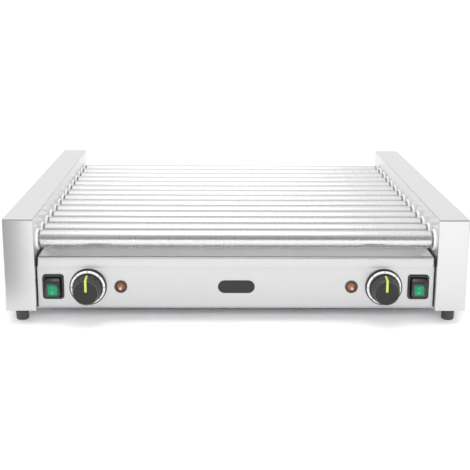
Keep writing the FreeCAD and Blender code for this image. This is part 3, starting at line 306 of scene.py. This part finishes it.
def bend_corners(points, steps=4):
    """Round each corner of a closed outline by its third value, if it has one."""
    line = []
    for spot, point in enumerate(points):
        corner = Vector(point[:2])
        bend = point[2] if len(point) > 2 else 0
        if not bend:
            line.append(tuple(corner))
            continue
        before = Vector(points[spot - 1][:2])
        after = Vector(points[(spot + 1) % len(points)][:2])
        start = corner + (before - corner).normalized() * bend
        end = corner + (after - corner).normalized() * bend
        for step in range(steps + 1):
            part = step / steps
            line.append(tuple(start * (1 - part) ** 2 + corner * 2 * part * (1 - part) + end * part ** 2))
    return line


def on_axis(axis, along, first, second):
    """A point from its place along an axis and its two places across it."""
    places = {"X": (along, first, second), "Y": (first, along, second), "Z": (first, second, along)}
    return Vector(places[axis])


def turned(mesh, outline, axis, centre, segments=64, flutes=None):
    """Turn a closed outline of (along, radius) pairs about an axis through a centre.

    flutes is (lowest, highest, depth): between those along values every other step lies deeper."""
    rings = []
    for along, radius in outline:
        on_the_axis = radius < MERGE_WITHIN
        ring = []
        for step in range(1 if on_the_axis else segments):
            angle = FULL_TURN * step / segments
            reach = radius
            if flutes and flutes[0] <= along <= flutes[1] and step % 2:
                reach -= flutes[2]
            offset = on_axis(axis, along, reach * math.cos(angle), reach * math.sin(angle))
            ring.append(mesh.verts.new(Vector(centre) + offset))
        rings.append(ring)
    for spot, ring in enumerate(rings):
        other = rings[(spot + 1) % len(rings)]
        if len(ring) == 1 and len(other) == 1:
            continue
        for step in range(segments):
            after = (step + 1) % segments
            corners = [ring[step % len(ring)], ring[after % len(ring)],
                       other[after % len(other)], other[step % len(other)]]
            mesh.faces.new(list(dict.fromkeys(corners)))


def swept(mesh, outline, low, high, axis="X", centre=(0, 0, 0), edge=0.0):
    """Stretch a closed outline along an axis, with its end faces' edges bevelled by edge."""
    middle_point = sum((Vector(point) for point in outline), Vector((0, 0))) / len(outline)
    sections = [(low, 0), (high, 0)]
    if edge:
        sections = [(low, 1), (low + edge * 0.3, 0.4), (low + edge, 0),
                    (high - edge, 0), (high - edge * 0.3, 0.4), (high, 1)]
    rings = []
    for along, inset in sections:
        ring = []
        for point in outline:
            flat = Vector(point)
            if inset:
                flat = flat + (middle_point - flat).normalized() * edge * inset
            ring.append(mesh.verts.new(Vector(centre) + on_axis(axis, along, flat.x, flat.y)))
        rings.append(ring)
    join_rings(mesh, rings)
    mesh.faces.new(rings[0])
    mesh.faces.new(rings[-1])


def join_rings(mesh, rings):
    """Skin rings of equally many points."""
    for ring, other in zip(rings, rings[1:]):
        for step in range(len(ring)):
            after = (step + 1) % len(ring)
            mesh.faces.new([ring[step], ring[after], other[after], other[step]])


def round_box(width, tall, corner, steps=6):
    """Points of a rectangle with round corners, about its middle."""
    points = []
    for turn, (right, top) in enumerate(((1, 1), (-1, 1), (-1, -1), (1, -1))):
        for step in range(steps + 1):
            angle = math.pi / 2 * (turn + step / steps)
            points.append((right * (width / 2 - corner) + corner * math.cos(angle),
                           top * (tall / 2 - corner) + corner * math.sin(angle)))
    return points


def loft(mesh, sections, centre):
    """Skin rounded rectangles (along Y, width, tall, corner) that look along Y, and close both ends."""
    rings = []
    for along, width, tall, corner in sections:
        rings.append([mesh.verts.new(Vector((centre[0] + x, along, centre[2] + z)))
                      for x, z in round_box(width, tall, corner)])
    join_rings(mesh, rings)
    mesh.faces.new(rings[0])
    mesh.faces.new(rings[-1])


FINISHES = make_materials()
make_camera()
make_world()


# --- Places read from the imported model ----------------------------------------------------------

def middle(node):
    """The middle of a node's box."""
    low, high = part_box(node)
    return (low + high) / 2


PANEL_LOW, PANEL_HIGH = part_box("front_panel")
PANEL = PANEL_LOW.y                                  # the panel's face
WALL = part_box("bearing_plate_right")[0].x            # the right inner wall's face
SHEET = 1.0 * MM
LAMP_RADIUS = 7.9 * MM
LAMP_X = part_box("lamp_bezels")[1].x - LAMP_RADIUS
ROLLERS = range(1, 15)


# --- Rollers and bushes ------------------------------------------------------------------------

def make_rollers():
    """Fourteen ground tubes with rolled shoulders on their hollow journals."""
    journal, bore, wall = mm(6, 4.5, 1.5)
    from_wall, shoulder = mm(4.8, 2.6)
    for number in ROLLERS:
        node = f"roller_{number:02d}"
        low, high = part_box(node)
        radius = (high.z - low.z) / 2
        tip = high.x
        end = WALL - from_wall
        half = [(end - wall, bore), (tip, bore), (tip, journal, 0.5 * MM), (end, journal),
                (end, radius - shoulder), (end + 0.45 * MM, radius - 1.5 * MM, 0.4 * MM),
                (end - 0.1 * MM, radius, 0.9 * MM)]
        mirrored = [(-point[0], *point[1:]) for point in reversed(half)]
        inside = [(-(end - wall), radius - wall), (end - wall, radius - wall)]
        mesh = bmesh.new()
        turned(mesh, bend_corners(half + mirrored + inside), "X", (low + high) / 2, segments=96)
        finish_piece(f"tube_{number:02d}", mesh, "roller_steel", node, [node])


def make_bushes():
    """White bearing bushes with a soft flange against both inner walls."""
    bore, flange, sleeve = mm(6.15, 13, 8)
    thick, reach, step_in = mm(2.8, 5, 0.7)
    face, tail = WALL - thick, WALL + reach
    outline = [(face + step_in, bore), (tail, bore), (tail, sleeve, 0.4 * MM), (WALL, sleeve),
               (WALL, flange, 0.3 * MM), (face, flange, 1.1 * MM), (face, flange - 2.6 * MM, 0.5 * MM),
               (face + step_in, flange - 3.2 * MM, 0.3 * MM)]
    mesh = bmesh.new()
    for number in ROLLERS:
        centre = middle(f"roller_{number:02d}")
        for side in SIDES.values():
            line = [(side * along, radius) for along, radius in bend_corners(outline)]
            turned(mesh, line, "X", (0, centre.y, centre.z), segments=48)
    finish_piece("bush_rings", mesh, "bush_white", "casing", ["roller_bushes"])


# --- Tray and panel ------------------------------------------------------------------------------

def pan_ring(mesh, half, front, back, up, corner, steps=5):
    """Points of a rounded rectangle that lies flat at one height."""
    points = []
    for turn, (right, rear) in enumerate(((1, 1), (-1, 1), (-1, -1), (1, -1))):
        for step in range(steps + 1):
            angle = math.pi / 2 * (turn + step / steps)
            x = right * (half - corner) + corner * math.cos(angle)
            y = (back - corner if rear > 0 else front + corner) + corner * math.sin(angle)
            points.append(mesh.verts.new((x, y, up)))
    return points


def make_tray():
    """The drip tray: a pan with leaning walls and soft folds, and a lip over the panel."""
    low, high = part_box("drip_tray")
    lean, step_in, deep, corner = mm(5, 4, 11, 2.5)
    half, rim, floor = high.x, high.z, high.z - deep
    front, back = PANEL + step_in, high.y
    outer = [(0.0, rim - SHEET), (lean - 1.2 * MM, floor + 2 * MM), (lean - 0.4 * MM, floor + 0.6 * MM),
             (lean + 1.2 * MM, floor)]
    inner = [(lean + 2.2 * MM, floor + SHEET), (lean + 0.7 * MM, floor + SHEET + 0.5 * MM),
             (lean - 0.1 * MM, floor + SHEET + 1.6 * MM), (SHEET, rim - 0.35 * MM), (0.7 * MM, rim),
             (0.3 * MM, rim), (0.0, rim - 0.35 * MM)]
    mesh = bmesh.new()
    under, over = ([pan_ring(mesh, half - inset, front + inset, back - inset, up, corner)
                    for inset, up in profile] for profile in (outer, inner))
    join_rings(mesh, under)
    mesh.faces.new(under[-1])
    join_rings(mesh, over)
    mesh.faces.new(over[0])
    join_rings(mesh, [over[-1], under[0]])
    finish_piece("tray_pan", mesh, "tray_steel", "tray", ["drip_tray"])
    make_lip(low.y, low.z, front + 0.4 * MM, rim, half - 0.2 * MM)


def make_lip(face, foot, back, rim, half):
    """The tray's lip: it runs forwards from the rim and folds down over the panel."""
    edge, fold = 0.2 * MM, 1.6 * MM
    lip = [(back, rim, edge), (face, rim, fold), (face, foot, 0.3 * MM), (face + SHEET, foot, 0.3 * MM),
           (face + SHEET, rim - SHEET, 0.7 * MM), (back, rim - SHEET, edge)]
    mesh = bmesh.new()
    swept(mesh, bend_corners(lip), -half, half)
    finish_piece("tray_lip", mesh, "panel_steel", "tray")


def make_panel():
    """The control panel: one sheet folded back along the top and the bottom."""
    low, high = PANEL_LOW, PANEL_HIGH
    deep = high.y
    fold, inner_fold, edge = mm(1.8, 0.9, 0.3)
    outline = [(deep, low.z, edge), (PANEL, low.z, fold), (PANEL, high.z, fold), (deep, high.z, edge),
               (deep, high.z - SHEET, edge), (PANEL + SHEET, high.z - SHEET, inner_fold),
               (PANEL + SHEET, low.z + SHEET, inner_fold), (deep, low.z + SHEET, edge)]
    mesh = bmesh.new()
    swept(mesh, bend_corners(outline, steps=5), low.x, high.x)
    panel = finish_piece("panel_sheet", mesh, "panel_steel", "casing", ["front_panel"])
    carve(panel, panel_holes())


def panel_holes():
    """Cutters for the switch windows, the knobs' spindles and the lamps."""
    window_wide, window_tall, window_corner = mm(22, 27, 1)
    spindle_hole, lamp_hole = mm(5.3, 5.2)
    before, behind = PANEL - 2 * MM, PANEL + 3 * MM
    switch, knob, lamp = middle("rocker_right"), middle("knob_right"), middle("lamp_lenses")
    holes = bmesh.new()
    for side in SIDES.values():
        window = [(along, window_wide, window_tall, window_corner) for along in (before, behind)]
        loft(holes, window, (side * switch.x, 0, knob.z))
        for x, radius in ((knob.x, spindle_hole), (LAMP_X, lamp_hole)):
            bar = [(before, 0), (behind, 0), (behind, radius), (before, radius)]
            turned(holes, bar, "Y", (side * x, 0, lamp.z), segments=32)
    return holes


def carve(item, tool_mesh):
    """Cut a tool's shape out of a piece's own mesh."""
    bmesh.ops.recalc_face_normals(tool_mesh, faces=tool_mesh.faces)
    data = bpy.data.meshes.new("tool")
    tool_mesh.to_mesh(data)
    tool_mesh.free()
    tool = bpy.data.objects.new("tool", data)
    bpy.context.scene.collection.objects.link(tool)
    change = item.modifiers.new("holes", "BOOLEAN")
    change.operation = "DIFFERENCE"
    change.solver = "EXACT"
    change.object = tool
    bpy.context.view_layer.update()
    shape = item.evaluated_get(bpy.context.evaluated_depsgraph_get())
    result = bpy.data.meshes.new_from_object(shape)
    item.modifiers.remove(change)
    bpy.data.objects.remove(tool)
    item.data = result


# --- Controls --------------------------------------------------------------------------------------

def make_switches():
    """Black snap-in frames round the two rockers."""
    low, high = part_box("switch_housings")
    front = PANEL - 2.4 * MM
    back_wide, back_tall = 21.4, 26.4
    wide, tall = 26, 31
    frame_sections = [(high.y, back_wide, back_tall, 1), (PANEL, back_wide, back_tall, 1),
                      (PANEL, wide - 0.2, tall - 0.2, 3.9), (front + 0.9 * MM, wide, tall, 4),
                      (front + 0.3 * MM, wide - 0.6, tall - 0.6, 3.7),
                      (front, wide - 1.7, tall - 1.7, 3.2), (front, wide - 4.6, tall - 4.6, 2.2),
                      (front + 0.25 * MM, wide - 5.6, tall - 5.6, 1.8),
                      (front + 0.8 * MM, wide - 6.1, tall - 6.1, 1.6),
                      (PANEL + 12 * MM, wide - 6.3, tall - 6.3, 1.5)]
    mesh = bmesh.new()
    for word in SIDES:
        centre = Vector((middle(f"rocker_{word}").x, 0, (low.z + high.z) / 2))
        loft(mesh, [(along, *mm(*sizes)) for along, *sizes in frame_sections], centre)
        make_rocker(word, centre)
    finish_piece("switch_frames", mesh, "black_plastic", "casing", ["switch_housings"])


def make_rocker(word, centre):
    """One rocker: its black shell, a green boot, the lit window in it and the window's two marks."""
    body = f"rocker_{word}"
    low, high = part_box(body)
    half, pin_reach, pin_radius = mm(9.3, 0.9, 1.5)
    front, shelf = low.y, centre.z + 8 * MM
    face = front + 0.2 * MM
    outline = [(high.y, low.z, 0.5 * MM), (face, low.z, 2.2 * MM), (face, shelf, 2.4 * MM),
               (PANEL - 3.4 * MM, high.z, 0.8 * MM), (high.y, high.z - 1.5 * MM, 0.5 * MM)]
    mesh = bmesh.new()
    swept(mesh, bend_corners(outline, steps=6), -half, half, "X", (centre.x, 0, 0), edge=1.5 * MM)
    pin = [(-half - pin_reach, 0), (half + pin_reach, 0), (half + pin_reach, pin_radius),
           (-half - pin_reach, pin_radius)]
    turned(mesh, pin, "X", (centre.x, PANEL + 2 * MM, centre.z), segments=24)
    finish_piece(f"rocker_shell_{word}", mesh, "black_plastic", body, [body])
    window = (centre.x, 0, (low.z + shelf) / 2 - 1.2 * MM)
    boot_wide, boot_tall, boot_corner = mm(16.2, 16.6, 1.8)
    mesh = bmesh.new()
    loft(mesh, [(front + 2 * MM, boot_wide, boot_tall, boot_corner),
                (front + 0.4 * MM, boot_wide, boot_tall, boot_corner),
                (front + 0.1 * MM, boot_wide - 0.8 * MM, boot_tall - 0.8 * MM, boot_corner - 0.3 * MM)],
         window)
    finish_piece(f"rocker_boot_{word}", mesh, "rocker_green", body)
    wide, tall, corner = mm(11.4, 12.4, 1)
    mesh = bmesh.new()
    loft(mesh, [(front + 2 * MM, wide, tall, corner), (front + 0.15 * MM, wide, tall, corner),
                (front, wide - 0.6 * MM, tall - 0.6 * MM, corner - 0.2 * MM)], window)
    finish_piece(f"rocker_window_{word}", mesh, "rocker_lit", body)
    make_rocker_marks(word, front, window)


def make_rocker_marks(word, front, window):
    """A bar above and a ring below, standing just out of a rocker's window."""
    thick, bar_tall, corner = mm(0.9, 3.0, 0.3)
    ring_inside, ring_outside = mm(0.9, 1.6)
    back, face = front + 0.5 * MM, front - 0.05 * MM
    x, _, z = window
    mesh = bmesh.new()
    loft(mesh, [(along, thick, bar_tall, corner) for along in (back, face)], (x, 0, z + 3 * MM))
    ring = [(back, ring_inside), (face, ring_inside), (face, ring_outside), (back, ring_outside)]
    turned(mesh, ring, "Y", (x, 0, z - 2.6 * MM), segments=32)
    finish_piece(f"rocker_marks_{word}", mesh, "rocker_mark", f"rocker_{word}")


def make_dials():
    """Raised black-rimmed dials with a white face and ticks."""
    rim, face_radius, inside = mm(22.75, 21, 5.3)
    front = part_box("dials")[0].y
    floor = front + 0.5 * MM
    cup = [(PANEL, inside), (PANEL, rim), (front, rim - 0.45 * MM, 0.8 * MM),
           (front, rim - 1.35 * MM, 0.3 * MM), (floor, face_radius + 0.1 * MM), (floor, inside)]
    face = [(floor, inside + 0.3 * MM), (floor, face_radius), (front + 0.2 * MM, face_radius),
            (front + 0.1 * MM, face_radius - 0.2 * MM), (front + 0.1 * MM, inside + 0.3 * MM)]
    cups, faces, marks = bmesh.new(), bmesh.new(), bmesh.new()
    for word in SIDES:
        centre = middle(f"knob_{word}")
        spot = (centre.x, 0, centre.z)
        turned(cups, bend_corners(cup), "Y", spot, segments=96)
        turned(faces, face, "Y", spot, segments=96)
        add_ticks(marks, spot, front)
    finish_piece("dial_cups", cups, "black_plastic", "casing", ["dials"])
    finish_piece("dial_faces", faces, "dial_silver", "casing")
    finish_piece("dial_marks", marks, "dial_print", "casing")


def add_ticks(mesh, spot, front, count=24, long_every=3):
    """Printed ticks round a dial, every third one long and broad."""
    base = 18.9 * MM
    for step in range(count):
        turn = FULL_TURN * step / count
        wide, tall = mm(0.3, 0.7) if step % long_every else mm(0.75, 1.9)
        corners = [(-wide / 2, base), (wide / 2, base), (wide / 2, base + tall), (-wide / 2, base + tall)]
        line = [(x * math.cos(turn) + z * math.sin(turn), z * math.cos(turn) - x * math.sin(turn))
                for x, z in corners]
        swept(mesh, line, front + 0.02 * MM, front + 0.15 * MM, "Y", spot)


def make_knob(word):
    """A tapered grip with a skirt, fine ribs, a rim round its face, and a raised pointer."""
    body = f"knob_{word}"
    low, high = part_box(body)
    centre = (low + high) / 2
    spot = (centre.x, 0, centre.z)
    front, skirt = low.y + 0.35 * MM, high.y
    base, nose = (high.x - low.x) / 2, 15.2 * MM
    shoulder, dish = skirt - 2.6 * MM, front + 0.25 * MM
    wall, hub, bore = mm(2, 6, 3)
    face_back, spindle_tip = front + 4 * MM, front + 3 * MM
    outline = [(dish, 0), (dish, nose - 2.4 * MM, 0.2 * MM), (front, nose - 2.0 * MM, 0.3 * MM),
               (front, nose, 0.9 * MM), (front + 1.6 * MM, nose + 0.35 * MM, 0.4 * MM),
               (shoulder - 0.8 * MM, base - 1.5 * MM, 0.3 * MM), (shoulder, base, 0.5 * MM),
               (skirt, base, 0.4 * MM), (skirt, base - wall), (face_back, nose - wall), (face_back, hub),
               (skirt, hub), (skirt, bore), (spindle_tip, bore), (spindle_tip, 0)]
    mesh = bmesh.new()
    turned(mesh, bend_corners(outline), "Y", spot, segments=144)
    finish_piece(f"knob_grip_{word}", mesh, "knob_charcoal", body, [body])
    # the rim round the face and the ribs take the lighter grey: a painted highlight along the face's edge
    # and on the ribs
    rim = [(front + 0.5 * MM, nose - 1.2 * MM), (front - 0.05 * MM, nose - 0.9 * MM),
           (front + 0.1 * MM, nose - 0.3 * MM), (front + 0.9 * MM, nose + 0.25 * MM),
           (front + 1.2 * MM, nose - 0.5 * MM)]
    mesh = bmesh.new()
    add_ribs(mesh, spot, (front + 1.9 * MM, nose + 0.42 * MM), (shoulder - 1.2 * MM, base - 1.55 * MM))
    turned(mesh, rim, "Y", spot, segments=96)
    finish_piece(f"knob_ribs_rim_highlight_{word}", mesh, "knob_rib", body)
    make_pointer(word, spot, front, nose, base, shoulder)


def add_ribs(mesh, spot, near, far, count=60):
    """Fine half-round ribs along a tapered grip, between two (along, radius) pairs."""
    clear = 0.09             # the ribs stop this short of the pointer, as the sine of half their turn
    profile = ((-0.5, -0.4), (-0.3, 0.22), (0, 0.36), (0.3, 0.22), (0.5, -0.4))
    stations = ((*near, 0.2), (near[0] + 0.6 * MM, near[1] + 0.08 * MM, 1.0),
                (far[0] - 0.5 * MM, far[1], 1.0), (*far, 0.2))
    for step in range(count):
        turn = FULL_TURN * step / count
        if abs(math.sin(turn / 2)) < clear:
            continue
        out = Vector((math.sin(turn), 0, math.cos(turn)))
        across = Vector((math.cos(turn), 0, -math.sin(turn)))
        rings = []
        for along, radius, grow in stations:
            ring = []
            for spread, lift in profile:
                place = Vector(spot) + out * (radius + lift * grow * MM) + across * spread * MM
                ring.append(mesh.verts.new((place.x, along, place.z)))
            rings.append(ring)
        join_rings(mesh, rings)
        mesh.faces.new(rings[0])
        mesh.faces.new(rings[-1])


def make_pointer(word, spot, front, nose, base, shoulder):
    """The lime pointer: a bar that starts at the middle of the face and runs on down the side."""
    half, edge = mm(1.45, 0.3)
    deep, thick, soften = mm(1.4, 1.0, 0.25)
    top = front - 0.35 * MM
    path = [(top, 1.2 * MM), (top, nose - 1.6 * MM), (top + 0.35 * MM, nose - 0.3 * MM),
            (top + 1.3 * MM, nose + 0.55 * MM), (shoulder - 4.4 * MM, base - 1.05 * MM)]
    under = [(along + deep, radius - thick) for along, radius in reversed(path)]
    mesh = bmesh.new()
    rings = []
    for offset, inset in ((-half, soften), (-half + edge, 0.0), (half - edge, 0.0), (half, soften)):
        points = [(along + inset, radius - inset) for along, radius in path] + under
        rings.append([mesh.verts.new((spot[0] + offset, along, spot[2] + radius))
                      for along, radius in points])
    join_rings(mesh, rings)
    mesh.faces.new(rings[0])
    mesh.faces.new(rings[-1])
    finish_piece(f"knob_pointer_{word}", mesh, "pointer_lime", f"knob_{word}")


def make_lamps():
    """Bronze bezels round fluted cone lenses, with a painted glint ring on each lens's tip."""
    low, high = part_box("lamp_bezels")
    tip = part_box("lamp_lenses")[0].y
    front, up = low.y, (low.z + high.z) / 2
    mouth, lens, tail, well = mm(5.3, 5.1, 4.9, 4)
    floor = PANEL - 0.6 * MM
    bezel = [(front + 0.6 * MM, mouth), (front, mouth + 0.6 * MM, 0.2 * MM),
             (front, LAMP_RADIUS - 0.4 * MM, 0.5 * MM), (front + 0.8 * MM, LAMP_RADIUS, 0.3 * MM),
             (PANEL, LAMP_RADIUS), (PANEL, tail), (high.y, tail, 0.6 * MM), (high.y, 0),
             (PANEL + 1 * MM, 0), (PANEL + 1 * MM, well), (floor, mouth)]
    nose, seat = tip + 0.5 * MM, PANEL - 0.65 * MM
    cone = [(nose, 1.3 * MM, 0.2 * MM), (tip + 3.4 * MM, 3.4 * MM, 1.2 * MM),
            (front + 0.5 * MM, lens, 0.3 * MM), (seat, lens), (seat, 0), (nose, 0)]
    # bead: a pale ring round a dark middle on the cone's tip, a painted glint
    bead = [(tip + 0.25 * MM, 0.5 * MM), (tip, 0.8 * MM), (tip, 1.3 * MM), (tip + 0.3 * MM, 1.5 * MM),
            (tip + 0.9 * MM, 1.4 * MM), (tip + 0.9 * MM, 0.5 * MM)]
    bezels, lenses, beads = bmesh.new(), bmesh.new(), bmesh.new()
    for side in SIDES.values():
        spot = (side * LAMP_X, 0, up)
        turned(bezels, bend_corners(bezel), "Y", spot)
        turned(lenses, bend_corners(cone), "Y", spot, flutes=(tip + 1.5 * MM, front + 0.4 * MM, 0.22 * MM))
        turned(beads, bead, "Y", spot, segments=32)
    finish_piece("lamp_rings", bezels, "lamp_bronze", "casing", ["lamp_bezels"])
    finish_piece("lamp_cones", lenses, "lamp_amber", "casing", ["lamp_lenses"])
    finish_piece("lamp_tip_glints", beads, "lamp_tip_glint", "casing")


def make_badge():
    """A blank plate with round ends and a soft edge."""
    low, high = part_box("badge_plate")
    wide, tall = high.x - low.x, high.z - low.z
    front = low.y
    steps = [(high.y, 0.0), (front + 0.4 * MM, 0.0), (front + 0.1 * MM, 0.15 * MM), (front, 0.5 * MM),
             (front, 0.9 * MM), (front + 0.12 * MM, 1.1 * MM)]
    sections = [(along, wide - 2 * inset, tall - 2 * inset, tall / 2 - inset) for along, inset in steps]
    mesh = bmesh.new()
    loft(mesh, sections, ((low.x + high.x) / 2, 0, (low.z + high.z) / 2))
    finish_piece("badge", mesh, "badge_grey", "casing", ["badge_plate"])


# --- Feet, carried-over nodes and floor ------------------------------------------------------------

def make_feet():
    """Tapered rubber feet with a round lower edge and a recess for the screw."""
    low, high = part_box("feet")
    radius, toe, screw_hole, recess, recess_deep = mm(8.75, 7.5, 2.2, 3.9, 6)
    top = high.z
    outline = [(top, screw_hole), (top, radius, 0.5 * MM), (top - 2.6 * MM, radius - 0.15 * MM, 0.3 * MM),
               (top - 3.0 * MM, radius - 0.55 * MM, 0.3 * MM), (0, toe, 1.8 * MM), (0, recess, 0.4 * MM),
               (recess_deep, recess - 0.2 * MM), (recess_deep, screw_hole)]
    mesh = bmesh.new()
    for x in (low.x + radius, high.x - radius):
        for y in (low.y + radius, high.y - radius):
            turned(mesh, bend_corners(outline), "Z", (x, y, 0), segments=48)
    finish_piece("rubber_feet", mesh, "foot_rubber", "casing", ["feet"])


def dress_frame():
    """Give every carried-over CAD node the finish of its material slot."""
    for node in NODES.values():
        for spot in node.material_slots:
            if spot.material:
                spot.material = FINISHES[spot.material.name.split(".")[0]]


def make_floor(reach=30):
    """A plain pale floor, reaching that many metres each way."""
    mesh = bpy.data.meshes.new("floor")
    corners = [(-reach, -reach, 0), (reach, -reach, 0), (reach, reach, 0), (-reach, reach, 0)]
    mesh.from_pydata(corners, [], [(0, 1, 2, 3)])
    floor = bpy.data.objects.new("floor", mesh)
    bpy.context.scene.collection.objects.link(floor)
    mesh.materials.append(surface("floor_paper", (0.93, 0.93, 0.93), (0.95, 0.95, 0.95), rough=(0.8, 0.9),
                                  scale=(3, 3, 3)))


def make_lights():
    """A card that darkens the left housing's reflection, a soft key overhead and a fill in front."""
    card("left_card", (-0.52, -0.36, 0.22), (0.24, 0, 0), (0, 0, 0.22), 0.44)
    area_light("key", (-0.05, 0.1, 1.9), (-0.05, 0, 0), (0.9, 1.6), 9)
    fill = area_light("front_fill", (0, -1.6, 0.7), (0, -0.3, 0), (1.6, 0.5), 22)
    fill.visible_glossy = False


dress_frame()
make_rollers()
make_bushes()
make_tray()
make_panel()
make_switches()
make_dials()
for word in SIDES:
    make_knob(word)
make_lamps()
make_badge()
make_feet()
make_floor()
make_lights()
bpy.context.scene.view_settings.view_transform = "Standard"
